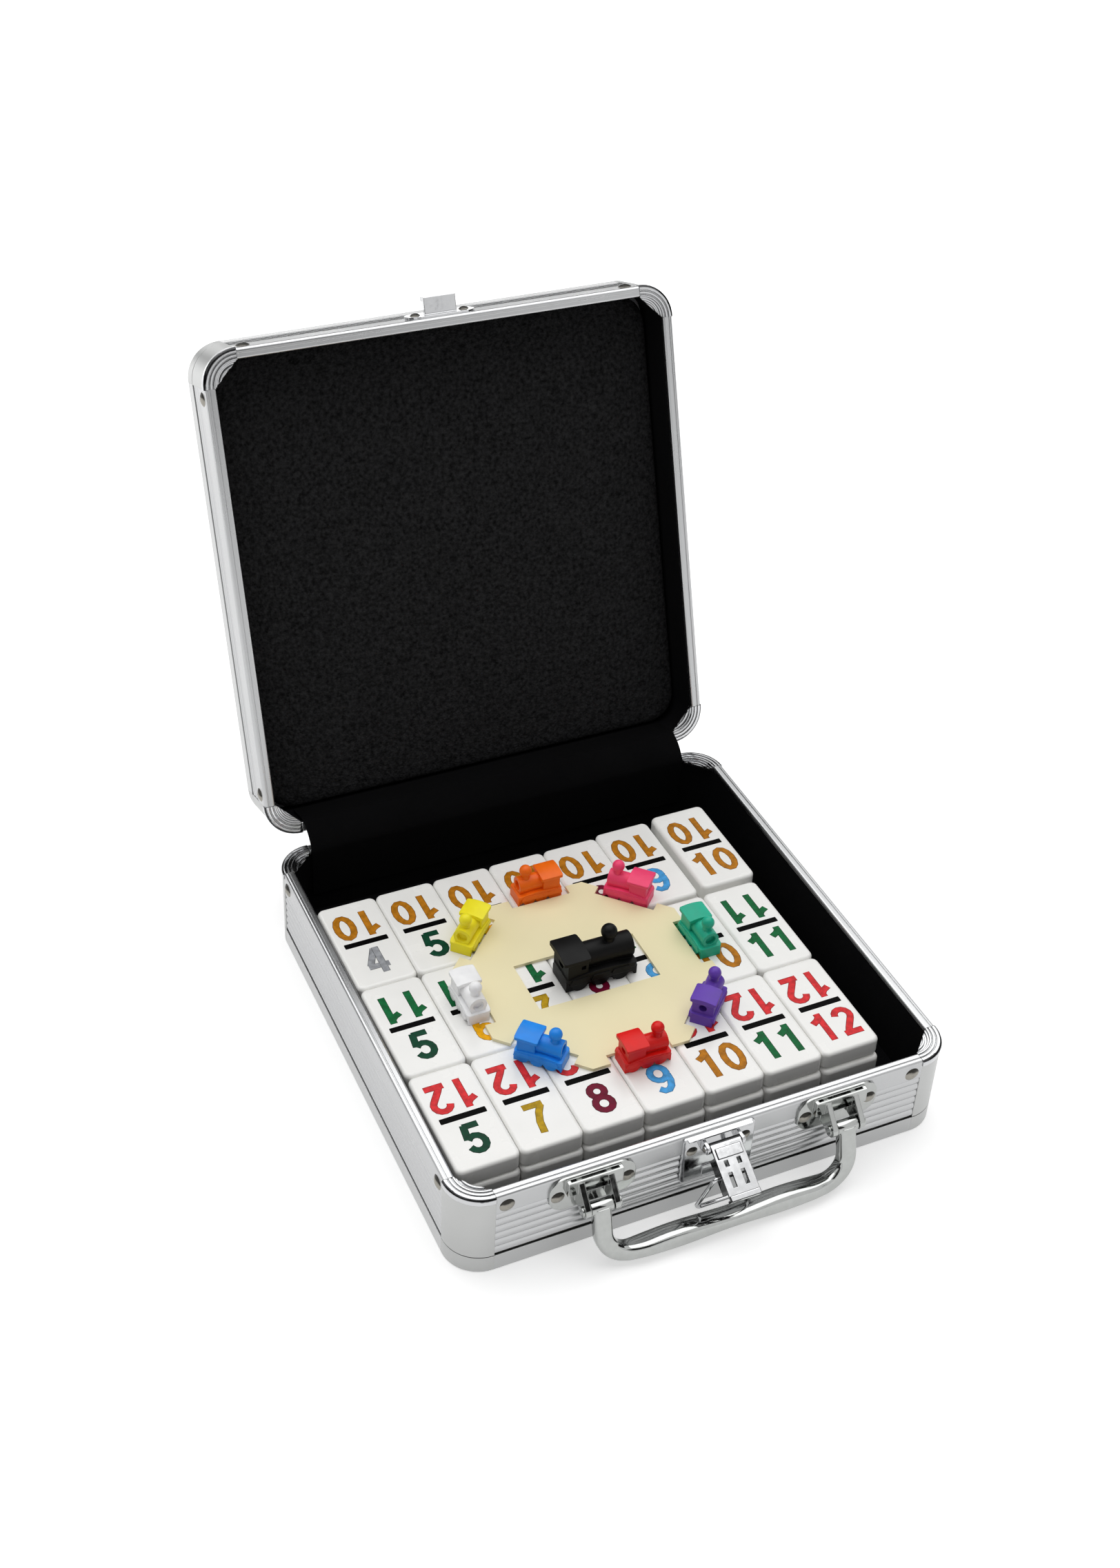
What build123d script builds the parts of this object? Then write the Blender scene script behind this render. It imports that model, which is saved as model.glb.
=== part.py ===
"""Mexican train domino set in a small aluminium case, open and packed for play.

Millimetres, +Z up, front of the case at -Y. The origin is the centre of the underside of the base.
"""

from build123d import *
import math
import os

# Trays: the base and the lid are built the same way, as open trays with a rim.
case_size = 207.5
base_height = 38.65
lid_height = 26.3
rim_gap = 0.3
corner_radius = 14.5
corner_cover = 14.85
metal_thickness = 1.1
board_thickness = 2.4
lining_thickness = 0.9
lining_recess = 0.2
rail_height = 9.0
rail_lip_height = 2.0
rail_edge_radius = 1.3
rail_lip_radius = 0.9
bead_inset = 1.7
bead_width = 0.5
bead_depth = 0.35
band_height = 7.3
lid_band_height = 6.5
band_flange = 9.0
groove_height = 0.6
base_rib_count = 6
lid_rib_count = 3
rib_crest_depth = 0.12
rib_valley_depth = 0.6
base_floor_thickness = 2.9
lid_panel_thickness = 2.2
floor_lining_thickness = 0.8
panel_clearance = 0.1

# Corner posts and caps
post_gap = 0.4
cap_skirt_height = 2.8
cap_proud = 0.4
cap_edge_radius = 1.2
cap_groove_inset = 3.3
cap_web_thickness = 1.3
cap_web_drop = 1.4
cap_ridge_height = 0.7
cap_ridge_width = 0.8
cap_ridge_pitch = 1.7
cap_ridge_count = 2

# Rivets
rivet_head_radius = 3.0
rivet_head_height = 1.0
rivet_shank_radius = 1.4
rivet_inset = 19.05
rivet_drop = 5.6

# Back hinges
hinge_offset = 3.2
hinge_rise = 0.4
hinge_length = 42.0
hinge_rivet_clearance = 0.7
hinge_middle_share = 0.4
hinge_leaf_thickness = 0.7
hinge_leaf_height = 7.6
hinge_knuckle_radius = 2.3
hinge_pin_radius = 1.0
hinge_web_thickness = 1.2
knuckle_gap = 0.15
running_clearance = 0.05
lid_open_angle = 108.77
leaf_rivet_radius = 1.5
leaf_rivet_height = 0.5
leaf_rivet_spacing = 26.0
leaf_rivet_drop = 4.86

# Hinge cloth and lid pad
cloth_side_clearance = 0.6
cloth_thickness = 0.8
cloth_clearance = 0.35
cloth_drop = 24.0
cloth_bow = 0.8
cloth_steps = 6
pad_thickness = 7.0
pad_clearance = 0.4
pad_corner_radius = 13.0
pad_inner_corner_radius = 6.5
pad_profile = ((0.5, 0.0), (0.0, 2.45), (0.33, 4.8), (0.99, 5.9), (2.2, 6.65), (17.6, 6.895))
pad_crown_inset = 52.8

# Carrying handle
handle_centre_x = 51.25
handle_pin_proud = 8.0
handle_pin_height = 26.5
handle_pin_radius = 1.1
handle_head_radius = 2.0
handle_head_height = 0.8
handle_hang_angle = 15.0
handle_leg_width = 7.1
handle_depth = 6.2
handle_reach = 26.1
handle_bend_radius = 14.0
handle_eye_radius = 2.6
handle_eye_width = 9.0
handle_edge_radius = 2.0
grip_half_length = 43.0
grip_taper = 6.0
grip_front = 5.0
grip_back = 4.0
grip_taper_front = 2.6
grip_edge_radius = 1.6
grip_swell = 0.2
grip_taper_draw = 0.6

# Handle brackets
bracket_width = 34.5
bracket_low = 22.0
bracket_high = 38.0
bracket_thickness = 1.0
bracket_corner_radius = 6.5
bracket_rivet_spacing = 28.0
bracket_rivet_height = 29.4
bracket_rivet_radius = 2.7
box_half_width = 11.0
box_low = 30.6
box_high = 37.2
box_proud = 3.3
box_slot_half_width = 9.6
box_slot_back = 1.3
box_slot_front = 2.5
box_slot_depth = 4.0
ear_thickness = 2.2
ear_gap = 9.6
ear_tip_radius = 2.9
ear_root_low = 25.2
ear_root_high = 36.0

# Latch
latch_plate_half_width = 15.0
latch_plate_low = 15.0
latch_plate_high = 38.0
latch_plate_thickness = 1.0
latch_plate_corner = 1.6
latch_flange_proud = 2.4
latch_flange_thickness = 0.8
latch_rivet_x = 11.1
latch_rivet_z = 30.9
latch_rivet_radius = 2.3
latch_tab_half_width = 6.0
latch_tab_low = 16.5
latch_tab_high = 21.5
latch_tab_proud = 0.6
latch_pin_proud = 5.0
latch_pin_height = 34.5
latch_pin_radius = 0.8
latch_pin_head = 0.6
latch_pin_head_radius = 1.3
latch_ear_radius = 2.0
latch_ear_thickness = 1.2
latch_ear_low = 31.0
lever_width = 12.5
lever_thickness = 1.0
lever_length = 20.0
lever_knuckle_radius = 1.9
lever_flange_depth = 3.6
lever_flange_thickness = 1.0
lever_flange_start = 4.0
lever_flange_end = 17.5
lever_side_gap = 0.3
lever_lip_drop = 1.9
lever_slot_width = 1.6
lever_slot_lengths = (2.4, 5.6)
lever_slot_x = 2.6
lever_slot_along = (7.2, 13.4)
lever_hang_angle = 30.0
loop_pivot_along = 11.0
loop_pivot_below = 2.5
loop_wire_radius = 0.85
loop_length = 22.2
loop_top_half = 7.7
loop_bar_half = 10.4
loop_end_half = 4.9
loop_lean = 17.25
loop_top_bend = 1.3
loop_bar_bend = 2.4
loop_hole_clearance = 0.08

# Keeper on the lid front
keeper_half_width = 15.0
keeper_low = 1.0
keeper_high = 12.0
keeper_thickness = 1.0
keeper_corner_radius = 5.0
keeper_hook_half_width = 7.0
keeper_hook_low = 4.6
keeper_hook_thickness = 1.6
keeper_hook_proud = 8.0
keeper_lip_height = 4.4
keeper_rivet_x = 10.8
keeper_rivet_radius = 2.2

# Tiles: four layers fill the base, from the left and front walls
block_left_clearance = 1.175
block_right_clearance = 19.375
block_front_clearance = 12.0
block_back_clearance = 35.2
stack_drop = 0.85
rest_gap = 0.05
tile_gap_x = 0.25
tile_gap_y = 0.2
tile_corner_radius = 2.8
tile_edge_radius = 1.5
tile_columns = 7
tile_rows = 3
tile_bar_length = 18.5
tile_bar_width = 2.2
tile_bar_depth = 0.4
layer_turns = (0.2, 0.45, 0.3, 0.5)
layer_shifts = ((0.4, -0.9), (0.1, -0.3), (0.3, -1.4), (0.0, 0.0))
corner_tile_shift = (2.6, 3.0)
neighbour_tile_shift = (0.0, 1.5)

# Hub
hub_centre = (-10.6, -11.2)
hub_apothem = 49.5
hub_thickness = 1.4
hub_bay_width = 26.0
hub_bay_floor = 44.9
hub_window = (52.8, 26.0)
hub_bay_count = 8

# Trains
train_ring_radius = 50.6
wheel_place_shares = (-0.32, -0.02, 0.26)
arch_place_shares = (-0.17, 0.12, 0.41)
arch_radius_share = 0.45
wheel_width_share = 0.94
frame_width_share = 0.84
board_width_share = 0.95
deck_corner_share = 0.12
roof_corner_share = 0.06
cradle_share = 0.8
window_drop_share = 0.9
boiler_overlap = 0.5
roof_sweep_share = 1.9
fender_thickness = 0.7
train_facings = {
    "train_orange": (90, 180),
    "train_pink": (45, 135),
    "train_teal": (0, -90),
    "train_purple": (-45, 45),
    "train_red": (-90, 0),
    "train_blue": (-135, -45),
    "train_white": (180, -90),
    "train_yellow": (135, -135),
}
small_train = {
    "length": 19.5,
    "width": 10.5,
    "frame_height": 3.6,
    "board_height": 4.8,
    "board_rise": 1.1,
    "wheel_radius": 2.7,
    "boiler_radius": 3.6,
    "boiler_height": 8.0,
    "boiler_front": 8.7,
    "boiler_bore": 2.2,
    "cab_rear": -8.7,
    "cab_front": -1.4,
    "cab_width": 8.8,
    "roof_rear": -9.75,
    "roof_length": 9.5,
    "roof_top": 12.7,
    "roof_thickness": 1.9,
    "funnel_x": 5.2,
    "funnel_radius": 1.9,
    "ball_radius": 2.6,
    "ball_height": 14.7,
    "cab_bore": 1.6,
}
black_train = {
    "length": 31.0,
    "width": 15.5,
    "frame_height": 4.8,
    "board_height": 6.4,
    "board_rise": 1.9,
    "wheel_radius": 3.7,
    "boiler_radius": 5.2,
    "boiler_height": 11.3,
    "boiler_front": 14.6,
    "boiler_bore": 3.1,
    "cab_rear": -15.1,
    "cab_front": -6.4,
    "cab_width": 13.6,
    "roof_rear": -17.2,
    "roof_length": 11.6,
    "roof_top": 17.0,
    "roof_thickness": 2.4,
    "funnel_x": 5.2,
    "funnel_radius": 2.3,
    "ball_radius": 3.3,
    "ball_height": 20.2,
    "cab_bore": 2.3,
}
black_train_centre = (-7.5, -11.8)
black_window = 1.9
black_window_depth = 1.0
black_window_x = -8.4
bore_depth = 1.6
cab_bore_depth = 3.0
knob_radius = 0.9
knob_length = 1.2

# Derived places
half = case_size / 2
straight_length = case_size - 2 * corner_cover
board_depth = metal_thickness + board_thickness
lining_face = board_depth + lining_thickness
rim_width = lining_face + lining_recess
hinge_y = half + hinge_offset
hinge_z = base_height + hinge_rise
lid_top = base_height + rim_gap + lid_height
lid_opening = Pos(0, hinge_y, hinge_z) * Rot(-lid_open_angle, 0, 0) * Pos(0, -hinge_y, -hinge_z)
lid_place = lid_opening * Pos(0, 0, lid_top) * Rot(180, 0, 0)
floor_top = metal_thickness + base_floor_thickness + floor_lining_thickness
stack_top = base_height - stack_drop
layer_pitch = (stack_top - floor_top) / len(layer_turns)
tile_thickness = layer_pitch - rest_gap
inner_half = half - lining_face
tile_pitch_x = (2 * inner_half - block_left_clearance - block_right_clearance) / tile_columns
tile_pitch_y = (2 * inner_half - block_front_clearance - block_back_clearance) / tile_rows
tile_width = tile_pitch_x - tile_gap_x
tile_length = tile_pitch_y - tile_gap_y
block_centre = (
    (block_left_clearance - block_right_clearance) / 2,
    (block_front_clearance - block_back_clearance) / 2,
)
hinge_centre_x = half - rivet_inset - rivet_head_radius - hinge_rivet_clearance - hinge_length / 2
cloth_half_width = half - corner_cover - cloth_side_clearance


def block(x0, x1, y0, y1, z0, z1):
    """A box given by its limits."""
    return Pos((x0 + x1) / 2, (y0 + y1) / 2, (z0 + z1) / 2) * Box(x1 - x0, y1 - y0, z1 - z0)


def tray_prism(depth, low, high):
    """A rounded square prism whose sides lie a given depth inside the outer face."""
    outline = RectangleRounded(case_size - 2 * depth, case_size - 2 * depth, corner_radius - depth)
    return Pos(0, 0, low) * extrude(outline, amount=high - low)


def rounded_prism(depth, low, high, radius):
    """A tray prism whose top edge is rounded over."""
    solid = tray_prism(depth, low, high)
    return fillet(solid.faces().sort_by(Axis.Z)[-1].edges(), radius)


def corner_ring(outer, inner, low, high):
    """The corner quarter of a square ring between two depths."""
    ring = tray_prism(outer, low, high) - tray_prism(inner, low, high)
    edge = half - corner_cover
    return ring & block(edge, case_size, edge, case_size, low, high)


def four_ways(shape):
    """Four copies of a shape, a quarter turn apart about the vertical axis."""
    return [shape.rotate(Axis.Z, 90 * turn) for turn in range(4)]


def side_bar(outline):
    """Runs an outline of depth and height along the front side between the corner covers."""
    plane = Plane(origin=(-straight_length / 2, -half, 0), x_dir=(0, 1, 0), z_dir=(1, 0, 0))
    return extrude(plane * outline, amount=straight_length)


def slab_outline(d0, d1, z0, z1):
    """A rectangle of depth and height given by its limits."""
    return Pos((d0 + d1) / 2, (z0 + z1) / 2) * Rectangle(d1 - d0, z1 - z0)


def rivet(radius, height, shank_length):
    """A domed rivet, its head seated on the plane z = 0 and its shank below."""
    sphere_radius = (radius**2 + height**2) / (2 * height)
    dome = Pos(0, 0, height - sphere_radius) * Sphere(sphere_radius)
    head = dome & Pos(0, 0, height / 2) * Cylinder(2 * radius, height)
    if shank_length <= 0:
        return head
    shank_radius = radius * rivet_shank_radius / rivet_head_radius
    return head + Pos(0, 0, -shank_length / 2) * Cylinder(shank_radius, shank_length)


def front_place(x, z, proud=0.0):
    """The place of a thing that stands on the front face, its own +Z pointing outward."""
    return Pos(x, -half - proud, z) * Rot(90, 0, 0)


def front_block(x0, x1, z0, z1, proud0, proud1):
    """A box on the front face, given by how far its near and far sides stand proud."""
    return block(x0, x1, -half - proud1, -half - proud0, z0, z1)


def x_cylinder(radius, x0, x1, y, z):
    """A cylinder along X."""
    return Pos((x0 + x1) / 2, y, z) * Rot(0, 90, 0) * Cylinder(radius, x1 - x0)


def corner_rivet_places(height):
    """Places of the two rivets of the front side, beside the corner posts."""
    reach = half - rivet_inset
    return [front_place(x, height - rivet_drop) for x in (-reach, reach)]


def top_rail(height):
    """The folded rim rail of one side, holed for its rivets."""
    low = height - rail_height
    outline = slab_outline(0, rim_width, low, height)
    outline -= slab_outline(metal_thickness, board_depth, low, height - metal_thickness)
    outline -= slab_outline(board_depth, rim_width, low, height - rail_lip_height)
    corners = outline.vertices().group_by(Axis.Y)[-1].sort_by(Axis.X)
    outline = fillet(corners[0], rail_edge_radius)
    corners = outline.vertices().group_by(Axis.Y)[-1].sort_by(Axis.X)
    outline = fillet(corners[-1], rail_lip_radius)
    bead_end = bead_inset + bead_width
    outline -= slab_outline(bead_inset, bead_end, height - bead_depth, height)
    rail = side_bar(outline)
    for place in corner_rivet_places(height):
        rail -= place * Pos(0, 0, -metal_thickness / 2) * Cylinder(rivet_shank_radius, metal_thickness)
    return rail


def ribbed_skin(low, high, count):
    """The ribbed side sheet of one side."""
    pitch = (high - low) / count
    edges = []
    for index in range(count):
        start = low + index * pitch
        middle = start + pitch / 2
        edges.append(
            ThreePointArc(
                (rib_valley_depth, start), (rib_crest_depth, middle), (rib_valley_depth, start + pitch)
            )
        )
    edges.append(Line((rib_valley_depth, high), (metal_thickness, high)))
    edges.append(Line((metal_thickness, high), (metal_thickness, low)))
    edges.append(Line((metal_thickness, low), (rib_valley_depth, low)))
    return side_bar(make_face(edges))


def bottom_band(height):
    """The angle strip of one side, which carries the edge of the flat panel."""
    outline = slab_outline(0, metal_thickness, 0, height) + slab_outline(0, band_flange, 0, metal_thickness)
    return side_bar(outline)


def cap_web(low, high):
    """The web across the inside of a rim corner, cut off along the diagonal."""
    edge = half - corner_cover
    inner = half - rim_width
    outline = make_face(Polyline((edge, inner), (inner, edge), (inner, inner), close=True))
    return tray_prism(rim_width, low, high) & Pos(0, 0, low) * extrude(outline, amount=high - low)


def cap_ridge(depth, low):
    """A ridge that follows the rim corner on top of the web."""
    high = low + cap_ridge_height
    ring = tray_prism(depth, low, high) - tray_prism(depth + cap_ridge_width, low, high)
    return ring & cap_web(low, high)


def corner_cap(height):
    """The rim corner cap: skirt, top flange and the ridged web across the inside corner."""
    cap = corner_ring(-cap_proud, metal_thickness, height - cap_skirt_height, height)
    cap += corner_ring(metal_thickness, rim_width, height - metal_thickness, height)
    for inset in (bead_inset, cap_groove_inset):
        cap -= corner_ring(inset, inset + bead_width, height - bead_depth, height)
    web_top = height - cap_web_drop
    lip_low = web_top - cap_web_thickness
    cap += corner_ring(board_depth, rim_width, lip_low, height - metal_thickness)
    cap += cap_web(lip_low, web_top)
    for index in range(cap_ridge_count):
        cap += cap_ridge(rim_width + index * cap_ridge_pitch, web_top)
    return cap & rounded_prism(-cap_proud, height - cap_skirt_height, height, cap_edge_radius)


def tray(height, band, ribs, panel):
    """All the pieces that the base and the lid share, as lists of solids by name."""
    floor = metal_thickness + panel
    web_low = height - cap_web_drop - cap_web_thickness
    board = slab_outline(metal_thickness, board_depth, metal_thickness, height - metal_thickness)
    rivet_solid = rivet(rivet_head_radius, rivet_head_height, metal_thickness)
    rivets = []
    for place in corner_rivet_places(height):
        rivets.extend(four_ways(place * rivet_solid))
    block_high = height - metal_thickness
    corner_block = corner_ring(metal_thickness, board_depth, metal_thickness, block_high)
    lining_top = min(height - rail_lip_height, web_low)
    foot = corner_ring(0, metal_thickness, 0, band)
    foot += corner_ring(metal_thickness, band_flange, 0, metal_thickness)
    skin = ribbed_skin(band + groove_height, height - rail_height, ribs)
    sheet = tray_prism(board_depth + panel_clearance, metal_thickness, floor)
    sheet += tray_prism(band_flange + panel_clearance, 0, metal_thickness)
    return {
        "rails": four_ways(top_rail(height)),
        "skins": four_ways(skin),
        "boards": four_ways(side_bar(board)),
        "bands": four_ways(bottom_band(band)),
        "posts": four_ways(corner_ring(0, metal_thickness, band + post_gap, height - cap_skirt_height)),
        "feet": four_ways(foot),
        "corner_blocks": four_ways(corner_block),
        "caps": four_ways(corner_cap(height)),
        "rivets": rivets,
        "panel": [sheet],
        "lining": [tray_prism(board_depth, floor, lining_top) - tray_prism(lining_face, floor, lining_top)],
    }


def hinge_leaf(middle, bore):
    """A hinge leaf below the pin with its knuckles, either the outer two or the middle one."""
    middle_length = hinge_length * hinge_middle_share
    outer_length = (hinge_length - middle_length) / 2
    if middle:
        spans = [(-middle_length / 2, middle_length / 2)]
    else:
        spans = [
            (-hinge_length / 2, -hinge_length / 2 + outer_length - knuckle_gap),
            (hinge_length / 2 - outer_length + knuckle_gap, hinge_length / 2),
        ]
    web_high = hinge_z - hinge_rise - knuckle_gap
    leaf_low = web_high - hinge_leaf_height
    leaf = block(
        -hinge_length / 2, hinge_length / 2, half, half + hinge_leaf_thickness, leaf_low, web_high
    )
    for x0, x1 in spans:
        leaf += x_cylinder(hinge_knuckle_radius, x0, x1, hinge_y, hinge_z)
        leaf += block(x0, x1, half, hinge_y, web_high - hinge_web_thickness, web_high)
    leaf -= x_cylinder(bore, -hinge_length / 2, hinge_length / 2, hinge_y, hinge_z)
    return leaf


def hinge_pairs():
    """The base leaves, the lid leaves and the pins of both back hinges."""
    base_leaf = hinge_leaf(False, hinge_pin_radius)
    lid_leaf = hinge_leaf(True, hinge_pin_radius + running_clearance)
    lid_turn = lid_opening * Pos(0, 0, hinge_z) * Rot(0, 180, 0) * Pos(0, 0, -hinge_z)
    pin = x_cylinder(hinge_pin_radius, -hinge_length / 2, hinge_length / 2, hinge_y, hinge_z)
    centres = (-hinge_centre_x, hinge_centre_x)
    return (
        [Pos(x, 0, 0) * base_leaf for x in centres],
        [lid_turn * Pos(x, 0, 0) * lid_leaf for x in centres],
        [Pos(x, 0, 0) * pin for x in centres],
    )


def hinge_rivets():
    """The small rivets that hold the hinge leaves, first those of the base, then of the lid."""
    head = rivet(leaf_rivet_radius, leaf_rivet_height, 0)
    height = base_height - leaf_rivet_drop
    base_side = []
    lid_side = []
    mirror_z = 2 * hinge_z - height
    for centre in (-hinge_centre_x, hinge_centre_x):
        for x in (centre - leaf_rivet_spacing / 2, centre + leaf_rivet_spacing / 2):
            place = Pos(x, half + hinge_leaf_thickness, height) * Rot(-90, 0, 0)
            base_side.append(place * head)
            upper = Pos(x, half + hinge_leaf_thickness, mirror_z) * Rot(-90, 0, 0)
            lid_side.append(lid_opening * upper * head)
    return base_side, lid_side


def ribbon(points, thickness, half_width):
    """A flat band of even thickness along points in the YZ plane, its near side on the points."""
    far = []
    count = len(points)
    for index in range(count):
        before = points[max(index - 1, 0)]
        after = points[min(index + 1, count - 1)]
        along_y = after[0] - before[0]
        along_z = after[1] - before[1]
        length = math.hypot(along_y, along_z)
        far.append(
            (
                points[index][0] - thickness * along_z / length,
                points[index][1] + thickness * along_y / length,
            )
        )
    face = make_face(Polyline(*points, *reversed(far), close=True))
    plane = Plane(origin=(-half_width, 0, 0), x_dir=(0, 1, 0), z_dir=(1, 0, 0))
    return extrude(plane * face, amount=2 * half_width)


def opened(y, z):
    """Where a point of the closed lid, given in the YZ plane, lies with the lid open."""
    angle = -math.radians(lid_open_angle)
    from_y = y - hinge_y
    from_z = z - hinge_z
    return (
        hinge_y + from_y * math.cos(angle) - from_z * math.sin(angle),
        hinge_z + from_y * math.sin(angle) + from_z * math.cos(angle),
    )


def hinge_cloth():
    """The cloth that covers the back gap, from the base lining over both rims onto the lid wall."""
    wall_y = half - rim_width - cloth_clearance
    lid_rim = base_height + rim_gap
    pad_depth = lid_height - metal_thickness - lid_panel_thickness - pad_thickness
    depth_end = pad_depth - cloth_clearance - cloth_thickness
    lid_points = [opened(wall_y, lid_rim + share * depth_end) for share in (0, 0.5, 1)]
    points = [(wall_y, base_height - share * cloth_drop) for share in (1, 0.5, 0)]
    start = points[-1]
    first = lid_points[0]
    for step in range(1, cloth_steps):
        share = step / cloth_steps
        swell = cloth_bow * math.sin(math.pi * share)
        points.append(
            (
                start[0] + (first[0] - start[0]) * share - swell,
                start[1] + (first[1] - start[1]) * share + swell,
            )
        )
    points.extend(lid_points)
    return ribbon(points, cloth_thickness, cloth_half_width)


def lid_pad():
    """The foam pad of the lid: sides drawn in a little and a slightly crowned face."""
    outer = half - lining_face - pad_clearance
    base = metal_thickness + lid_panel_thickness
    sections = []
    for inset, height in (*pad_profile, (pad_crown_inset, pad_thickness)):
        side = 2 * (outer - inset)
        radius = max(pad_corner_radius - inset / 2, pad_inner_corner_radius)
        sections.append(Pos(0, 0, base + height) * RectangleRounded(side, side, radius))
    return lid_place * loft(sections, ruled=True)


def bracket_ear():
    """One ear of a handle bracket, between proud and height, extruded along X from x = 0."""
    tip = Pos(-half - handle_pin_proud, handle_pin_height) * Circle(ear_tip_radius)
    root = Polyline(
        (-half - box_proud, ear_root_high),
        (-half - bracket_thickness, ear_root_high),
        (-half - bracket_thickness, ear_root_low),
    )
    outline = make_hull([*tip.edges(), *root.edges()])
    plane = Plane(origin=(0, 0, 0), x_dir=(0, 1, 0), z_dir=(1, 0, 0))
    return extrude(plane * outline, amount=ear_thickness)


def handle_bracket():
    """A pressed bracket: plate, open-topped box, and two ears bored for the pin."""
    height = bracket_high - bracket_low
    outline = RectangleRounded(bracket_width, height, bracket_corner_radius)
    plate = extrude(outline, amount=bracket_thickness)
    bracket = front_place(0, (bracket_low + bracket_high) / 2) * plate
    box = front_block(-box_half_width, box_half_width, box_low, box_high, bracket_thickness, box_proud)
    slot_low = box_high - box_slot_depth
    box -= front_block(
        -box_slot_half_width, box_slot_half_width, slot_low, box_high, box_slot_back, box_slot_front
    )
    bracket += box
    ear = bracket_ear()
    bracket += Pos(ear_gap / 2, 0, 0) * ear
    bracket += Pos(-ear_gap / 2 - ear_thickness, 0, 0) * ear
    reach = ear_gap / 2 + ear_thickness
    bracket -= x_cylinder(
        handle_pin_radius, -reach, reach, -half - handle_pin_proud, handle_pin_height
    )
    return bracket


def handle_pin():
    """The pin through both ears with its two heads."""
    reach = ear_gap / 2 + ear_thickness
    y = -half - handle_pin_proud
    pin = x_cylinder(handle_pin_radius, -reach, reach, y, handle_pin_height)
    pin += x_cylinder(handle_head_radius, reach, reach + handle_head_height, y, handle_pin_height)
    pin += x_cylinder(handle_head_radius, -reach - handle_head_height, -reach, y, handle_pin_height)
    return pin


def grip_section(x, front, back, narrow):
    """A section of the thickened grip at one place along X."""
    low = -handle_reach - grip_swell + narrow
    high = -handle_reach + handle_leg_width + grip_swell - narrow
    plane = Plane(origin=(x, (back - front) / 2, (low + high) / 2), x_dir=(0, 1, 0), z_dir=(1, 0, 0))
    return plane * RectangleRounded(front + back, high - low, grip_edge_radius)


def carrying_handle():
    """The handle as one casting: two eyes, two legs, round bends and a thicker grip, hung at rest."""
    outer_x = handle_centre_x + handle_leg_width / 2
    inner_x = handle_centre_x - handle_leg_width / 2
    inner_reach = handle_reach - handle_leg_width
    inner_bend = handle_bend_radius - handle_leg_width
    outer = make_face(Polyline(
        (-outer_x, 0), (-outer_x, -handle_reach), (outer_x, -handle_reach), (outer_x, 0), close=True
    ))
    outer = fillet(outer.vertices().group_by(Axis.Y)[0], handle_bend_radius)
    inner = make_face(Polyline(
        (-inner_x, 0), (-inner_x, -inner_reach), (inner_x, -inner_reach), (inner_x, 0), close=True
    ))
    inner = fillet(inner.vertices().group_by(Axis.Y)[0], inner_bend)
    plane = Plane(origin=(0, handle_depth / 2, 0), x_dir=(1, 0, 0), z_dir=(0, -1, 0))
    bar = extrude(plane * (outer - inner), amount=handle_depth)
    faces = bar.faces().filter_by(Axis.Y)
    long_edges = [edge for face in faces for edge in face.edges() if edge.center().Z < -handle_edge_radius]
    bar = fillet(long_edges, handle_edge_radius)
    sections = [
        grip_section(-grip_half_length - grip_taper, grip_taper_front, grip_taper_front, grip_taper_draw),
        grip_section(-grip_half_length, grip_front, grip_back, 0),
        grip_section(grip_half_length, grip_front, grip_back, 0),
        grip_section(grip_half_length + grip_taper, grip_taper_front, grip_taper_front, grip_taper_draw),
    ]
    bar += loft(sections, ruled=True)
    eye_half = handle_eye_width / 2
    for x in (-handle_centre_x, handle_centre_x):
        bar += x_cylinder(handle_eye_radius, x - eye_half, x + eye_half, 0, 0)
        bar -= x_cylinder(handle_pin_radius + running_clearance, x - eye_half, x + eye_half, 0, 0)
    hang = Pos(0, -half - handle_pin_proud, handle_pin_height) * Rot(-handle_hang_angle, 0, 0)
    return hang * bar


def latch_ear():
    """One ear of the latch plate, extruded along X from x = 0."""
    tip = Pos(-half - latch_pin_proud, latch_pin_height) * Circle(latch_ear_radius)
    root = Polyline(
        (-half - latch_plate_thickness, latch_pin_height + latch_ear_radius),
        (-half - latch_plate_thickness, latch_ear_low),
    )
    outline = make_hull([*tip.edges(), *root.edges()])
    plane = Plane(origin=(0, 0, 0), x_dir=(0, 1, 0), z_dir=(1, 0, 0))
    return extrude(plane * outline, amount=latch_ear_thickness)


def latch_plate():
    """The latch plate: folded top edge, two ears for the lever and a pressed tab below."""
    height = latch_plate_high - latch_plate_low
    outline = RectangleRounded(2 * latch_plate_half_width, height, latch_plate_corner)
    centre = (latch_plate_low + latch_plate_high) / 2
    plate = front_place(0, centre) * extrude(outline, amount=latch_plate_thickness)
    flange_half = latch_plate_half_width - latch_plate_corner
    plate += front_block(
        -flange_half,
        flange_half,
        latch_plate_high - latch_flange_thickness,
        latch_plate_high,
        latch_plate_thickness,
        latch_flange_proud,
    )
    plate += front_block(
        -latch_tab_half_width,
        latch_tab_half_width,
        latch_tab_low,
        latch_tab_high,
        latch_plate_thickness,
        latch_plate_thickness + latch_tab_proud,
    )
    gap = lever_width / 2 + lever_side_gap
    ear = latch_ear()
    plate += Pos(gap, 0, 0) * ear
    plate += Pos(-gap - latch_ear_thickness, 0, 0) * ear
    reach = gap + latch_ear_thickness
    plate -= x_cylinder(latch_pin_radius, -reach, reach, -half - latch_pin_proud, latch_pin_height)
    return plate


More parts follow.
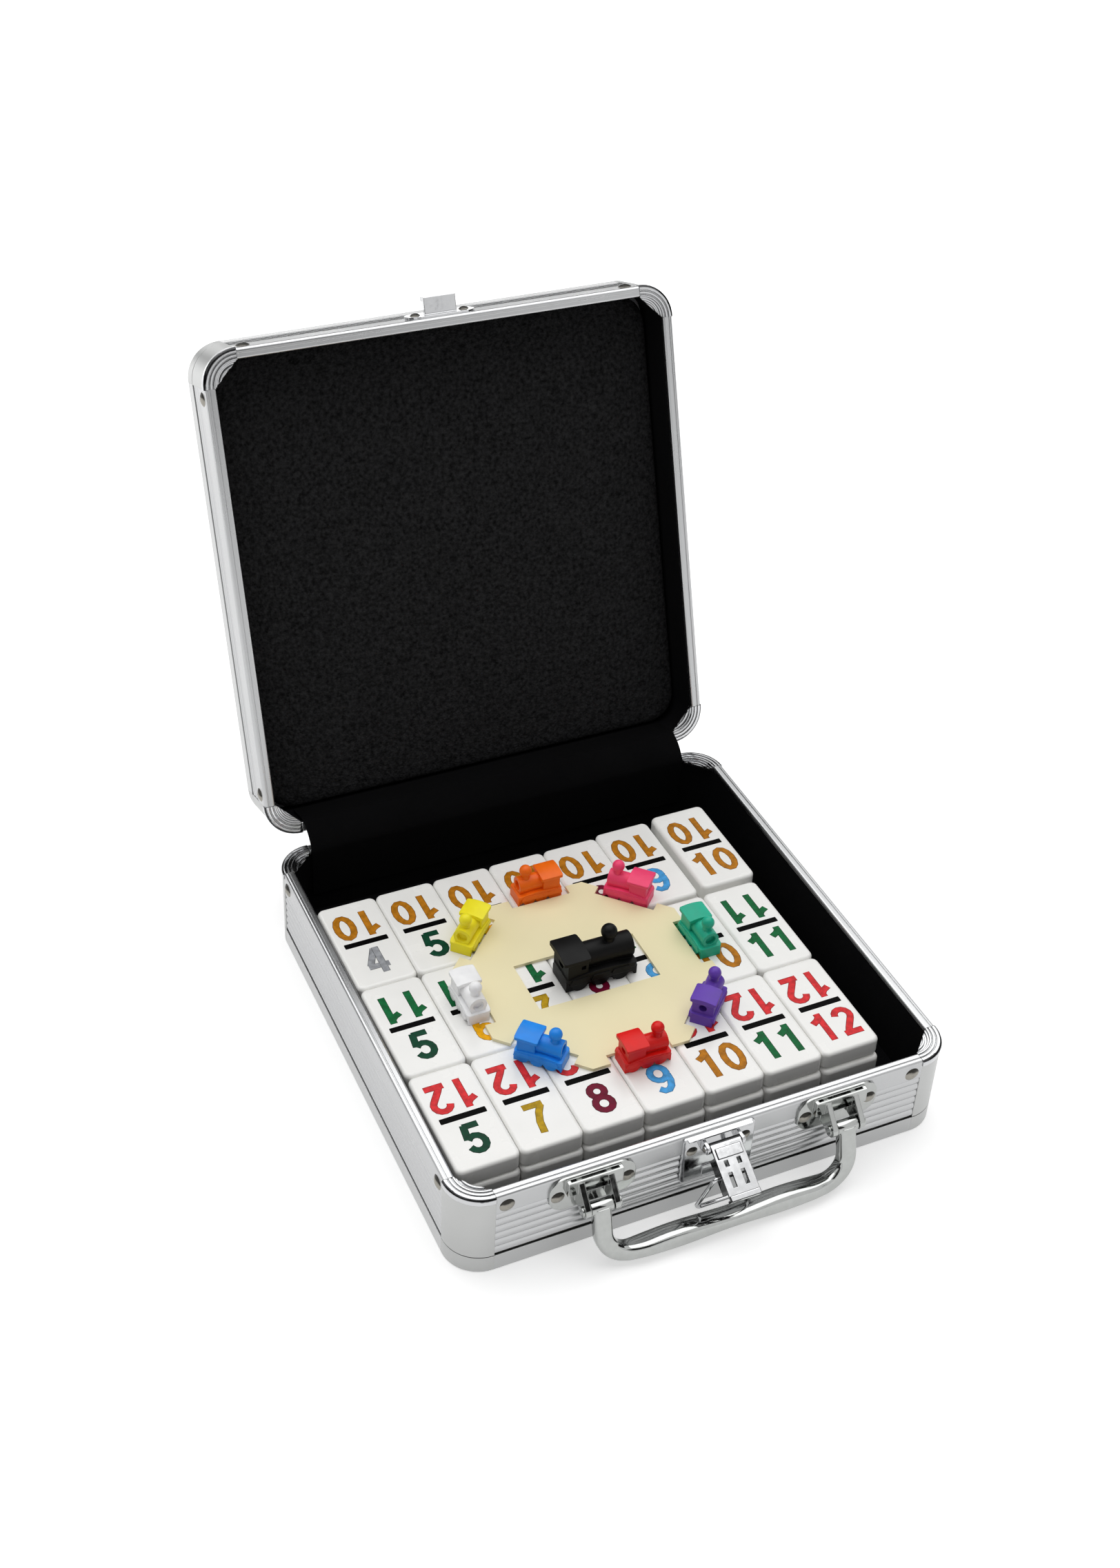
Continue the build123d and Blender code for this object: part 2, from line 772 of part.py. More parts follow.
def latch_pin():
    """The lever pin with two small heads."""
    reach = lever_width / 2 + lever_side_gap + latch_ear_thickness
    y = -half - latch_pin_proud
    pin = x_cylinder(latch_pin_radius, -reach, reach, y, latch_pin_height)
    pin += x_cylinder(latch_pin_head_radius, reach, reach + latch_pin_head, y, latch_pin_height)
    pin += x_cylinder(latch_pin_head_radius, -reach - latch_pin_head, -reach, y, latch_pin_height)
    return pin


def lever_place():
    """The lever's frame: -Y runs along the lever to its tail, +Z is its upper side."""
    return Pos(0, -half - latch_pin_proud, latch_pin_height) * Rot(lever_hang_angle, 0, 0)


def latch_lever():
    """The lever: knuckle, slotted top, side flanges that hold the wire loop, and a turned-down lip."""
    side = lever_width / 2
    top = lever_knuckle_radius
    under = top - lever_thickness
    lever = x_cylinder(lever_knuckle_radius, -side, side, 0, 0)
    lever += block(-side, side, -lever_length, 0, under, top)
    lever += block(
        -side, side, -lever_length - lever_thickness, -lever_length, under - lever_lip_drop, top
    )
    flange_low = -lever_flange_depth - lever_thickness / 2
    for x0 in (-side, side - lever_flange_thickness):
        lever += block(
            x0, x0 + lever_flange_thickness, -lever_flange_end, -lever_flange_start, flange_low, under
        )
    for along, length in zip(lever_slot_along, lever_slot_lengths):
        for x in (-lever_slot_x, lever_slot_x):
            lever -= Pos(x, -along, 0) * Box(lever_slot_width, length, 2 * lever_knuckle_radius)
    lever -= x_cylinder(
        loop_wire_radius + loop_hole_clearance, -side, side, -loop_pivot_along, -loop_pivot_below
    )
    lever -= x_cylinder(latch_pin_radius + running_clearance, -side, side, 0, 0)
    return lever_place() * lever


def loop_pivot():
    """The loop's pivot on the front face, as proud and height."""
    angle = math.radians(lever_hang_angle)
    proud = latch_pin_proud + loop_pivot_along * math.cos(angle) - loop_pivot_below * math.sin(angle)
    height = latch_pin_height - loop_pivot_along * math.sin(angle) - loop_pivot_below * math.cos(angle)
    return proud, height


def latch_loop():
    """The wire loop, hooked into the lever's flanges and hanging from it."""
    path = FilletPolyline(
        (-loop_end_half, 0),
        (-loop_top_half, 0),
        (-loop_bar_half, -loop_length),
        (loop_bar_half, -loop_length),
        (loop_top_half, 0),
        (loop_end_half, 0),
        radius=(loop_top_bend, loop_bar_bend, loop_bar_bend, loop_top_bend),
    )
    start = Plane(origin=path @ 0, z_dir=path % 0)
    wire = sweep(start * Circle(loop_wire_radius), path=path)
    proud, height = loop_pivot()
    return Pos(0, -half - proud, height) * Rot(loop_lean, 0, 0) * Rot(90, 0, 0) * wire


def keeper():
    """The keeper plate and hook on the front of the lid, in the closed case's frame."""
    rim = base_height + rim_gap
    height = keeper_high - keeper_low
    outline = RectangleRounded(2 * keeper_half_width, height, keeper_corner_radius)
    plate = front_place(0, rim + (keeper_low + keeper_high) / 2) * extrude(
        outline, amount=keeper_thickness
    )
    hook_low = rim + keeper_hook_low
    plate += front_block(
        -keeper_hook_half_width,
        keeper_hook_half_width,
        hook_low,
        hook_low + keeper_hook_thickness,
        keeper_thickness,
        keeper_hook_proud,
    )
    plate += front_block(
        -keeper_hook_half_width,
        keeper_hook_half_width,
        hook_low,
        hook_low + keeper_lip_height,
        keeper_hook_proud - keeper_hook_thickness,
        keeper_hook_proud,
    )
    return lid_opening * plate


def keeper_rivets():
    """The two rivets of the keeper plate."""
    height = base_height + rim_gap + (keeper_low + keeper_high) / 2
    head = rivet(keeper_rivet_radius, rivet_head_height, 0)
    return [
        lid_opening * front_place(x, height, keeper_thickness) * head
        for x in (-keeper_rivet_x, keeper_rivet_x)
    ]


def tile():
    """One domino tile with rounded corners and edges and its engraved dividing bar."""
    solid = extrude(RectangleRounded(tile_width, tile_length, tile_corner_radius), amount=tile_thickness)
    rims = solid.faces().sort_by(Axis.Z)
    solid = fillet([*rims[0].edges(), *rims[-1].edges()], tile_edge_radius)
    groove = Pos(0, 0, tile_thickness - tile_bar_depth / 2)
    return solid - groove * Box(tile_bar_length, tile_bar_width, tile_bar_depth)


def tile_layer(level):
    """One layer of tiles, lying slightly askew in the case as set down by hand."""
    shift_x, shift_y = layer_shifts[level]
    layer = Pos(
        block_centre[0] + shift_x, block_centre[1] + shift_y, floor_top + rest_gap + level * layer_pitch
    ) * Rot(0, 0, layer_turns[level])
    top = level == len(layer_turns) - 1
    solid = tile()
    tiles = []
    for row in range(tile_rows):
        for column in range(tile_columns):
            x = (column - (tile_columns - 1) / 2) * tile_pitch_x
            y = (row - (tile_rows - 1) / 2) * tile_pitch_y
            if top and row == tile_rows - 1 and column == tile_columns - 1:
                x += corner_tile_shift[0]
                y += corner_tile_shift[1]
            if top and row == tile_rows - 1 and column == tile_columns - 2:
                x += neighbour_tile_shift[0]
                y += neighbour_tile_shift[1]
            tiles.append(layer * Pos(x, y, 0) * solid)
    return tiles


def hub():
    """The octagonal hub plate with a bay in each side and a window for the large train."""
    outline = RegularPolygon(hub_apothem, hub_bay_count, major_radius=False, rotation=180 / hub_bay_count)
    outline -= Rectangle(*hub_window)
    for index in range(hub_bay_count):
        bay = Pos(hub_bay_floor + hub_apothem / 2, 0) * Rectangle(hub_apothem, hub_bay_width)
        outline -= Rot(0, 0, index * 360 / hub_bay_count) * bay
    return Pos(*hub_centre, stack_top + rest_gap) * extrude(outline, amount=hub_thickness)


def running_board(size):
    """A train's board over its wheels: arched along its top, with a fender round each wheel."""
    half_length = size["length"] / 2
    side = size["width"] / 2
    board_side = board_width_share * side
    low = size["frame_height"]
    high = size["board_height"]
    outline = ThreePointArc((-half_length, high), (0, high + size["board_rise"]), (half_length, high))
    outline += Polyline((half_length, high), (half_length, low), (-half_length, low), (-half_length, high))
    board = extrude(Plane.XZ * make_face(outline), amount=board_side, both=True)
    board = fillet(board.edges().filter_by(Axis.Z), deck_corner_share * size["width"])
    radius = size["wheel_radius"]
    fender = Cylinder(radius + fender_thickness, size["width"])
    upper = block(-half_length, half_length, -side, side, radius, high)
    for share in wheel_place_shares:
        board += upper & (Pos(share * size["length"], 0, radius) * Rot(90, 0, 0) * fender)
    return board


def train_roof(size):
    """A train's roof: a slab with rounded corners that falls away to both sides."""
    side = size["width"] / 2
    front = size["roof_rear"] + size["roof_length"]
    top = size["roof_top"]
    roof = block(size["roof_rear"], front, -side, side, top - size["roof_thickness"], top)
    roof = fillet(roof.edges().filter_by(Axis.Z), roof_corner_share * size["width"])
    sweep_radius = roof_sweep_share * size["width"]
    return roof & x_cylinder(sweep_radius, size["roof_rear"] - side, front + side, 0, top - sweep_radius)


def locomotive(size):
    """A moulded train facing +X, standing on z = 0."""
    length = size["length"]
    radius = size["wheel_radius"]
    frame_side = frame_width_share * size["width"] / 2
    deck = size["board_height"]
    body = block(-length / 2, length / 2, -frame_side, frame_side, 0, size["frame_height"])
    for share in arch_place_shares:
        arch = Cylinder(arch_radius_share * radius, size["width"])
        body -= Pos(share * length, 0, 0) * Rot(90, 0, 0) * arch
    for share in wheel_place_shares:
        wheel = Cylinder(radius, wheel_width_share * size["width"])
        body += Pos(share * length, 0, radius) * Rot(90, 0, 0) * wheel
    body += running_board(size)
    boiler_x = size["boiler_front"]
    boiler_start = size["cab_front"] - boiler_overlap
    body += x_cylinder(size["boiler_radius"], boiler_start, boiler_x, 0, size["boiler_height"])
    cradle = cradle_share * size["boiler_radius"]
    body += block(boiler_start, boiler_x, -cradle, cradle, deck, size["boiler_height"])
    body -= x_cylinder(size["boiler_bore"], boiler_x - bore_depth, boiler_x, 0, size["boiler_height"])
    cab_side = size["cab_width"] / 2
    roof_low = size["roof_top"] - size["roof_thickness"]
    body += block(size["cab_rear"], size["cab_front"], -cab_side, cab_side, deck, roof_low)
    bore_z = roof_low - window_drop_share * 2 * size["cab_bore"]
    body -= x_cylinder(size["cab_bore"], size["cab_rear"], size["cab_rear"] + cab_bore_depth, 0, bore_z)
    body += train_roof(size)
    funnel_low = size["boiler_height"]
    funnel_height = size["ball_height"] - funnel_low
    funnel = Pos(size["funnel_x"], 0, funnel_low + funnel_height / 2)
    body += funnel * Cylinder(size["funnel_radius"], funnel_height)
    body += Pos(size["funnel_x"], 0, size["ball_height"]) * Sphere(size["ball_radius"])
    return body


def small_trains():
    """The eight small trains round the hub, by name."""
    solid = locomotive(small_train)
    trains = {}
    for name, (bearing, facing) in train_facings.items():
        angle = math.radians(bearing)
        x = hub_centre[0] + train_ring_radius * math.cos(angle)
        y = hub_centre[1] + train_ring_radius * math.sin(angle)
        trains[name] = Pos(x, y, stack_top + rest_gap) * Rot(0, 0, facing) * solid
    return trains


def large_train():
    """The black train in the hub's window, with a side window in its cab and a small knob on its front."""
    front = black_train["boiler_front"]
    height = black_train["boiler_height"] - black_train["boiler_radius"]
    solid = locomotive(black_train)
    solid += x_cylinder(knob_radius, front, front + knob_length, 0, height + knob_radius)
    wall = black_train["cab_width"] / 2
    window_z = black_train["roof_top"] - black_train["roof_thickness"] - window_drop_share * 2 * black_window
    for y in (-wall, wall):
        solid -= Pos(black_window_x, y, window_z) * Box(black_window, 2 * black_window_depth, black_window)
    return Pos(*black_train_centre, stack_top + rest_gap) * solid


def write(name, solids):
    """Writes the solids of one node to its file."""
    flat = [solid for shape in solids for solid in shape.solids()]
    export_step(Compound(flat), f"parts/{name}.step")


def write_case():
    """Writes the two trays and the floor lining of the base."""
    base = tray(base_height, band_height, base_rib_count, base_floor_thickness)
    lid = tray(lid_height, lid_band_height, lid_rib_count, lid_panel_thickness)
    for name, solids in base.items():
        write("base_" + name, solids)
    for name, solids in lid.items():
        write("lid_" + name, [lid_place * solid for solid in solids])
    floor_low = metal_thickness + base_floor_thickness
    write("base_floor_lining", [tray_prism(lining_face, floor_low, floor_top)])


def write_hinges():
    """Writes both back hinges with their rivets, the hinge cloth and the lid's pad."""
    base_leaves, lid_leaves, pins = hinge_pairs()
    base_leaf_rivets, lid_leaf_rivets = hinge_rivets()
    write("base_hinge_leaves", base_leaves)
    write("base_hinge_rivets", base_leaf_rivets)
    write("hinge_pins", pins)
    write("lid_hinge_leaves", lid_leaves)
    write("lid_hinge_rivets", lid_leaf_rivets)
    write("hinge_cloth", [hinge_cloth()])
    write("lid_foam_pad", [lid_pad()])


def write_handle():
    """Writes the handle, its two brackets, and their pins and rivets."""
    centres = (-handle_centre_x, handle_centre_x)
    bracket = handle_bracket()
    pin = handle_pin()
    head = rivet(bracket_rivet_radius, rivet_head_height, 0)
    rivets = []
    for centre in centres:
        for x in (centre - bracket_rivet_spacing / 2, centre + bracket_rivet_spacing / 2):
            rivets.append(front_place(x, bracket_rivet_height, bracket_thickness) * head)
    write("handle_brackets", [Pos(x, 0, 0) * bracket for x in centres])
    write("handle_bracket_rivets", rivets)
    write("handle_pins", [Pos(x, 0, 0) * pin for x in centres])
    write("carrying_handle", [carrying_handle()])


def write_latch():
    """Writes the latch of the base and its keeper on the lid."""
    head = rivet(latch_rivet_radius, rivet_head_height, 0)
    rivet_xs = (-latch_rivet_x, latch_rivet_x)
    write("latch_plate", [latch_plate()])
    write("latch_rivets", [front_place(x, latch_rivet_z, latch_plate_thickness) * head for x in rivet_xs])
    write("latch_pin", [latch_pin()])
    write("latch_lever", [latch_lever()])
    write("latch_loop", [latch_loop()])
    write("keeper", [keeper()])
    write("keeper_rivets", keeper_rivets())


def write_contents():
    """Writes the tiles, the hub and the trains."""
    for level in range(len(layer_turns)):
        write(f"tiles_layer_{level + 1}", tile_layer(level))
    write("hub", [hub()])
    for name, solid in small_trains().items():
        write(name, [solid])
    write("train_black", [large_train()])


def main():
    """Builds every node and writes it."""
    os.makedirs("parts", exist_ok=True)
    write_case()
    write_hinges()
    write_handle()
    write_latch()
    write_contents()


main()
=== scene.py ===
"""Dresses the mexican train domino set.

Metal, plastic, foam and cloth finishes, painted numerals, studio and camera.
"""

import logging
import math
import random
from dataclasses import dataclass, field
from enum import Enum

import bpy
from mathutils import Matrix, Vector


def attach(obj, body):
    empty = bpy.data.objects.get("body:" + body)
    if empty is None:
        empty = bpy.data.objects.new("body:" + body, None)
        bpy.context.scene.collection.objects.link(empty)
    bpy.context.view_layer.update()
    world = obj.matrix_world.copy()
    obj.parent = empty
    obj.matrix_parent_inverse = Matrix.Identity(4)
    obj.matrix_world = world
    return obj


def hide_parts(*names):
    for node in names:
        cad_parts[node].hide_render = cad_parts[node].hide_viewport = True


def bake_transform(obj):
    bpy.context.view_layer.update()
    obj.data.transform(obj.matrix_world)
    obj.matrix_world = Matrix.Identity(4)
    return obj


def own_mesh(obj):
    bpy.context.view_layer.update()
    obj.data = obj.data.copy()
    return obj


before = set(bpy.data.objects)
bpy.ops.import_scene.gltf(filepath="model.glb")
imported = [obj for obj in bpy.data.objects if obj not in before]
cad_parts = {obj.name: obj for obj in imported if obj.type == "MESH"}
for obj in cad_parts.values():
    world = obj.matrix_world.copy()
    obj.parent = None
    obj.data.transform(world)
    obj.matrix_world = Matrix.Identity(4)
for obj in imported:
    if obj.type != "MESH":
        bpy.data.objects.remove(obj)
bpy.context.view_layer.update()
log = logging.getLogger("domino_set")
Pair = tuple[float, float]
Triple = tuple[float, float, float]
Socket = bpy.types.NodeSocket
Thing = bpy.types.Object
MM = 0.001
TINY = 1e-6
PATTERN_RANGE = (0.3, 0.7)


def scaled(colour: Triple, share: float) -> Triple:
    """A colour made darker or lighter, held within 0 to 1.

    Args:
        colour: The colour.
        share: What each channel is multiplied by.

    Returns:
        The new colour.
    """
    return tuple(min(max(channel * share, 0.0), 1.0) for channel in colour)


class NodeSheet:
    """A new material's node tree, with short ways to add and join nodes."""

    def __init__(self, name: str) -> None:
        """Start a material.

        Args:
            name: The material's name.
        """
        self.material = bpy.data.materials.new(name)
        self.material.use_nodes = True
        self.nodes = self.material.node_tree.nodes
        self.links = self.material.node_tree.links
        self.shader = self.nodes["Principled BSDF"]

    def add(self, kind: str, **settings: object) -> bpy.types.Node:
        """Add a node.

        Args:
            kind: The node's type name without its ShaderNode prefix.
            settings: Attributes to set on it.

        Returns:
            The new node.
        """
        node = self.nodes.new("ShaderNode" + kind)
        for key, value in settings.items():
            setattr(node, key, value)
        return node

    def join(self, source: Socket, target: Socket) -> None:
        """Link one socket to another.

        Args:
            source: An output.
            target: An input.
        """
        self.links.new(source, target)

    def set(self, **values: object) -> None:
        """Set constants on the shader's own sockets.

        Args:
            values: Socket names with underscores for spaces, and their values.
        """
        for key, value in values.items():
            self.shader.inputs[key.replace("_", " ")].default_value = value

    def place(self, stretch: Triple = (1, 1, 1)) -> Socket:
        """Object coordinates, stretched.

        Args:
            stretch: Scale along each axis.

        Returns:
            The vector socket.
        """
        coordinates = self.add("TexCoord")
        mapping = self.add("Mapping")
        mapping.inputs["Scale"].default_value = stretch
        self.join(coordinates.outputs["Object"], mapping.inputs["Vector"])
        return mapping.outputs["Vector"]

    def noise(self, scale: float, detail: float, stretch: Triple = (1, 1, 1)) -> Socket:
        """A noise pattern on the object's own coordinates.

        Args:
            scale: Features per metre.
            detail: Octaves.
            stretch: Scale along each axis.

        Returns:
            The factor socket.
        """
        noise = self.add("TexNoise")
        noise.inputs["Scale"].default_value = scale
        noise.inputs["Detail"].default_value = detail
        self.join(self.place(stretch), noise.inputs["Vector"])
        return noise.outputs["Fac"]

    def cells(self, scale: float, **settings: object) -> Socket:
        """A pattern of cells on the object's own coordinates.

        Args:
            scale: Cells per metre.
            settings: Attributes to set on the node.

        Returns:
            The distance socket.
        """
        cells = self.add("TexVoronoi", **settings)
        cells.inputs["Scale"].default_value = scale
        self.join(self.place(), cells.inputs["Vector"])
        return cells.outputs["Distance"]

    def mapped(self, factor: Socket, source: Pair, target: Pair) -> Socket:
        """Map a range of a factor to a range of values.

        Args:
            factor: What is mapped.
            source: The factor's range.
            target: The values at its ends.

        Returns:
            The mapped value socket.
        """
        node = self.add("MapRange")
        for name, value in zip(("From Min", "From Max", "To Min", "To Max"), (*source, *target)):
            node.inputs[name].default_value = value
        self.join(factor, node.inputs["Value"])
        return node.outputs["Result"]

    def spread(self, factor: Socket, low: float, high: float) -> Socket:
        """Map a pattern's usual range to a range of values.

        Args:
            factor: The pattern.
            low: Value at the range's low end.
            high: Value at its high end.

        Returns:
            The mapped value socket.
        """
        return self.mapped(factor, PATTERN_RANGE, (low, high))

    def rough(self, factor: Socket, low: float, high: float) -> None:
        """Vary the roughness by a pattern.

        Args:
            factor: The pattern.
            low: Roughness at the range's low end.
            high: Roughness at its high end.
        """
        self.join(self.spread(factor, low, high), self.shader.inputs["Roughness"])

    def combine(self, operation: str, first: Socket, second: Socket) -> Socket:
        """Put two values together.

        Args:
            operation: The sum to do, as Blender names it.
            first: The first value.
            second: The second value.

        Returns:
            The value socket.
        """
        node = self.add("Math", operation=operation)
        self.join(first, node.inputs[0])
        self.join(second, node.inputs[1])
        return node.outputs["Value"]

    def ramp(self, factor: Socket, *stops: tuple[float, Triple]) -> None:
        """Take the base colour from a ramp.

        Args:
            factor: Where on the ramp, from 0 to 1.
            stops: Places on the ramp and their colours, in order.
        """
        ramp = self.add("ValToRGB")
        elements = ramp.color_ramp.elements
        for element, (position, colour) in zip(elements, (stops[0], stops[-1])):
            element.position = position
            element.color = (*colour, 1)
        for position, colour in stops[1:-1]:
            elements.new(position).color = (*colour, 1)
        self.join(factor, ramp.inputs["Fac"])
        self.join(ramp.outputs["Color"], self.shader.inputs["Base Color"])

    def tint(self, factor: Socket, colour: Triple, dark: float, light: float) -> None:
        """Darken and lighten the base colour by a pattern.

        Args:
            factor: The pattern.
            colour: The middle colour.
            dark: Share of it at the pattern's low end.
            light: Share of it at the high end.
        """
        low, high = PATTERN_RANGE
        self.ramp(factor, (low, scaled(colour, dark)), (high, scaled(colour, light)))

    def rounded(self, radius: float) -> Socket:
        """Normals that turn over an edge as if it were rounded.

        Args:
            radius: How far from the edge, in metres.

        Returns:
            The normal socket.
        """
        rounding = self.add("Bevel", samples=6)
        rounding.inputs["Radius"].default_value = radius
        return rounding.outputs["Normal"]

    def relief(self, height: Socket, depth: float, strength: float, edge: float = 0.0) -> None:
        """Turn a height pattern into bumps, over edges that catch the light as if rounded.

        Args:
            height: The pattern.
            depth: Its depth in metres.
            strength: How much of it shows.
            edge: How far an edge is rounded, in metres.
        """
        bump = self.add("Bump")
        if edge:
            self.join(self.rounded(edge), bump.inputs["Normal"])
        bump.inputs["Strength"].default_value = strength
        bump.inputs["Distance"].default_value = depth
        self.join(height, bump.inputs["Height"])
        self.join(bump.outputs["Normal"], self.shader.inputs["Normal"])


@dataclass(frozen=True)
class Recipe:
    """A finish: a named material and how its nodes are laid."""

    name: str

    def lay(self, sheet: NodeSheet) -> None:
        """Lay the finish's nodes.

        Args:
            sheet: The new material's nodes.
        """
        raise NotImplementedError

    def build(self) -> bpy.types.Material:
        """Make the material.

        Returns:
            The material.
        """
        sheet = NodeSheet(self.name)
        self.lay(sheet)
        return sheet.material


@dataclass(frozen=True)
class SatinAluminium(Recipe):
    """Anodised aluminium with a fine satin grain and faint handling marks."""

    colour: Triple
    roughness: float
    edge: float = 0.25 * MM
    haze: float = 0.03

    def lay(self, sheet: NodeSheet) -> None:
        """Lay the nodes.

        Args:
            sheet: The new material's nodes.
        """
        grain = sheet.noise(5200, 2)
        cloud = sheet.noise(34, 4)
        sheet.tint(cloud, self.colour, 0.965, 1.02)
        sheet.rough(cloud, self.roughness - self.haze, self.roughness + self.haze)
        sheet.relief(grain, 0.02 * MM, 0.35, self.edge)
        sheet.set(Metallic=1.0)


@dataclass(frozen=True)
class BrightChrome(Recipe):
    """Bright plating over pressed steel, with the slight waviness of a pressing."""

    colour: Triple
    roughness: float = 0.07
    edge: float = 0.45 * MM

    def lay(self, sheet: NodeSheet) -> None:
        """Lay the nodes.

        Args:
            sheet: The new material's nodes.
        """
        wave = sheet.noise(150, 2)
        haze = sheet.noise(420, 3)
        sheet.tint(haze, self.colour, 0.95, 1.03)
        sheet.rough(haze, self.roughness - 0.03, self.roughness + 0.05)
        sheet.relief(wave, 0.2 * MM, 0.25, self.edge)
        sheet.set(Metallic=1.0)


@dataclass(frozen=True)
class FacedChrome(Recipe):
    """Bright plating on a pressing, with painted reflection and shade: dark where its edges and
    grooves turn away from its face.

    The ramp runs from a normal square to the face, or turned further away, to one along it.
    """

    faces: Triple
    colour: Triple = (0.54, 0.545, 0.555)
    rounding: float = 0.5 * MM
    dark_share: float = 0.08
    side_share: float = 1.0
    waviness: float = 0.2 * MM
    side_end: float = 0.3
    dark_range: Pair = (0.44, 0.93)
    face_start: float = 0.99

    def lay(self, sheet: NodeSheet) -> None:
        """Lay the nodes.

        Args:
            sheet: The new material's nodes.
        """
        wave = sheet.noise(150, 2)
        haze = sheet.noise(420, 3)
        own = sheet.add(
            "VectorTransform", vector_type="NORMAL", convert_from="WORLD", convert_to="OBJECT"
        )
        sheet.join(sheet.rounded(self.rounding), own.inputs["Vector"])
        facing = sheet.add("VectorMath", operation="DOT_PRODUCT")
        facing.inputs[1].default_value = self.faces
        sheet.join(own.outputs["Vector"], facing.inputs[0])
        # painted reflection: where a normal turns from the face the colour drops to this dark
        # share, standing in for dark surroundings mirrored in edges and grooves; side_share sets
        # the colour of faces along the face, painted shade where it is low
        dark = scaled(self.colour, self.dark_share)
        sheet.ramp(
            facing.outputs["Value"],
            (self.side_end, scaled(self.colour, self.side_share)),
            *((position, dark) for position in self.dark_range),
            (self.face_start, self.colour),
        )
        sheet.rough(haze, 0.05, 0.12)
        sheet.relief(wave, self.waviness, 0.25, self.rounding)
        sheet.set(Metallic=1.0)


@dataclass(frozen=True)
class DullSteel(Recipe):
    """Tumbled rivet steel, warm grey with a pitted face, and painted shade where its rim turns up,
    as if the head sat sunk in its hole.
    """

    colour: Triple = (0.32, 0.305, 0.27)
    grime: float = 0.12
    rim: float = 0.7 * MM

    def lay(self, sheet: NodeSheet) -> None:
        """Lay the nodes.

        Args:
            sheet: The new material's nodes.
        """
        pits = sheet.noise(1800, 4)
        cloud = sheet.noise(260, 3)
        # painted shade: where the rounded rim turns up, the ramp is pushed to its darkest stop, a
        # shadow crescent on the upper rim
        facing = sheet.add("SeparateXYZ")
        sheet.join(sheet.rounded(self.rim), facing.inputs["Vector"])
        grime = sheet.mapped(facing.outputs["Z"], (0.12, 0.4), (0.0, -0.6))
        shares = ((0.1, self.grime), (0.3, 0.86), (0.7, 1.12))
        stops = [(position, scaled(self.colour, share)) for position, share in shares]
        sheet.ramp(sheet.combine("ADD", cloud, grime), *stops)
        sheet.rough(cloud, 0.34, 0.52)
        sheet.relief(pits, 0.05 * MM, 0.5)
        sheet.set(Metallic=0.9)


@dataclass(frozen=True)
class MouldedPlastic(Recipe):
    """Glossy injection-moulded plastic with a faint flow pattern."""

    colour: Triple
    roughness: float = 0.38
    gloss: float = 0.3
    edge: float = 0.35 * MM
    glow: float = 0.35
    depth: float = 1.5 * MM

    def lay(self, sheet: NodeSheet) -> None:
        """Lay the nodes.

        Args:
            sheet: The new material's nodes.
        """
        flow = sheet.noise(130, 3)
        skin = sheet.noise(2400, 2)
        sheet.tint(flow, self.colour, 0.9, 1.06)
        sheet.rough(flow, self.roughness - 0.05, self.roughness + 0.08)
        sheet.relief(skin, 0.04 * MM, 0.4, self.edge)
        sheet.set(Specular_IOR_Level=self.gloss, Subsurface_Weight=self.glow)
        sheet.set(Subsurface_Scale=self.depth, Subsurface_Radius=(1.0, 1.0, 1.0))


@dataclass(frozen=True)
class SatinPlastic(Recipe):
    """Satin sheet plastic, even in colour, with a fine pressed skin."""

    colour: Triple

    def lay(self, sheet: NodeSheet) -> None:
        """Lay the nodes.

        Args:
            sheet: The new material's nodes.
        """
        cloud = sheet.noise(26, 3)
        skin = sheet.noise(1500, 3)
        sheet.tint(cloud, self.colour, 0.97, 1.02)
        sheet.rough(skin, 0.42, 0.55)
        sheet.relief(skin, 0.06 * MM, 0.4)
        sheet.set(Specular_IOR_Level=0.3)


@dataclass(frozen=True)
class PolishedResin(Recipe):
    """The tiles' dense white resin: warm, faintly clouded, polished."""

    colour: Triple = (0.90, 0.895, 0.87)

    def lay(self, sheet: NodeSheet) -> None:
        """Lay the nodes.

        Args:
            sheet: The new material's nodes.
        """
        cloud = sheet.noise(55, 4)
        polish = sheet.noise(900, 2)
        sheet.tint(cloud, self.colour, 0.965, 1.02)
        sheet.rough(cloud, 0.2, 0.3)
        sheet.relief(polish, 0.02 * MM, 0.2)
        sheet.set(Specular_IOR_Level=0.45)


@dataclass(frozen=True)
class EngravedPaint(Recipe):
    """Enamel paint wiped into an engraved figure, thinner and darker in places at random, with
    painted shade on each stroke's sloped rim for the engraving's edge.
    """

    colour: Triple
    gloss: float = 0.12

    def lay(self, sheet: NodeSheet) -> None:
        """Lay the nodes.

        Args:
            sheet: The new material's nodes.
        """
        pool = sheet.noise(420, 3)
        brush = sheet.noise(1600, 3, (1.0, 3.0, 1.0))
        # painted shade: faces tilted from the top of a stroke, its sloped rim, are darkened like
        # the shaded edge of an engraving
        facing = sheet.add("SeparateXYZ")
        sheet.join(sheet.add("TexCoord").outputs["Normal"], facing.inputs["Vector"])
        level = sheet.mapped(facing.outputs["Z"], (0.93, 1.0), (0.0, 0.36))
        # the random pooling of the paint is added to that painted shade
        depth = sheet.combine("ADD", level, sheet.spread(pool, 0.1, 0.38))
        sheet.tint(depth, self.colour, 0.4, 1.1)
        sheet.rough(pool, 0.3, 0.45)
        sheet.relief(brush, 0.08 * MM, 0.4)
        sheet.set(Specular_IOR_Level=self.gloss)


@dataclass(frozen=True)
class OpenFoam(Recipe):
    """Black open-cell foam with a fine speckle."""

    colour: Triple = (0.0115, 0.0115, 0.012)

    def lay(self, sheet: NodeSheet) -> None:
        """Lay the nodes.

        Args:
            sheet: The new material's nodes.
        """
        cells = sheet.cells(1150)
        cloud = sheet.noise(38, 4)
        speckle = sheet.noise(620, 5)
        sheet.tint(speckle, self.colour, 0.3, 2.3)
        sheet.rough(cloud, 0.88, 0.98)
        sheet.relief(cells, 0.5 * MM, 0.8)
        sheet.set(Specular_IOR_Level=0.08)


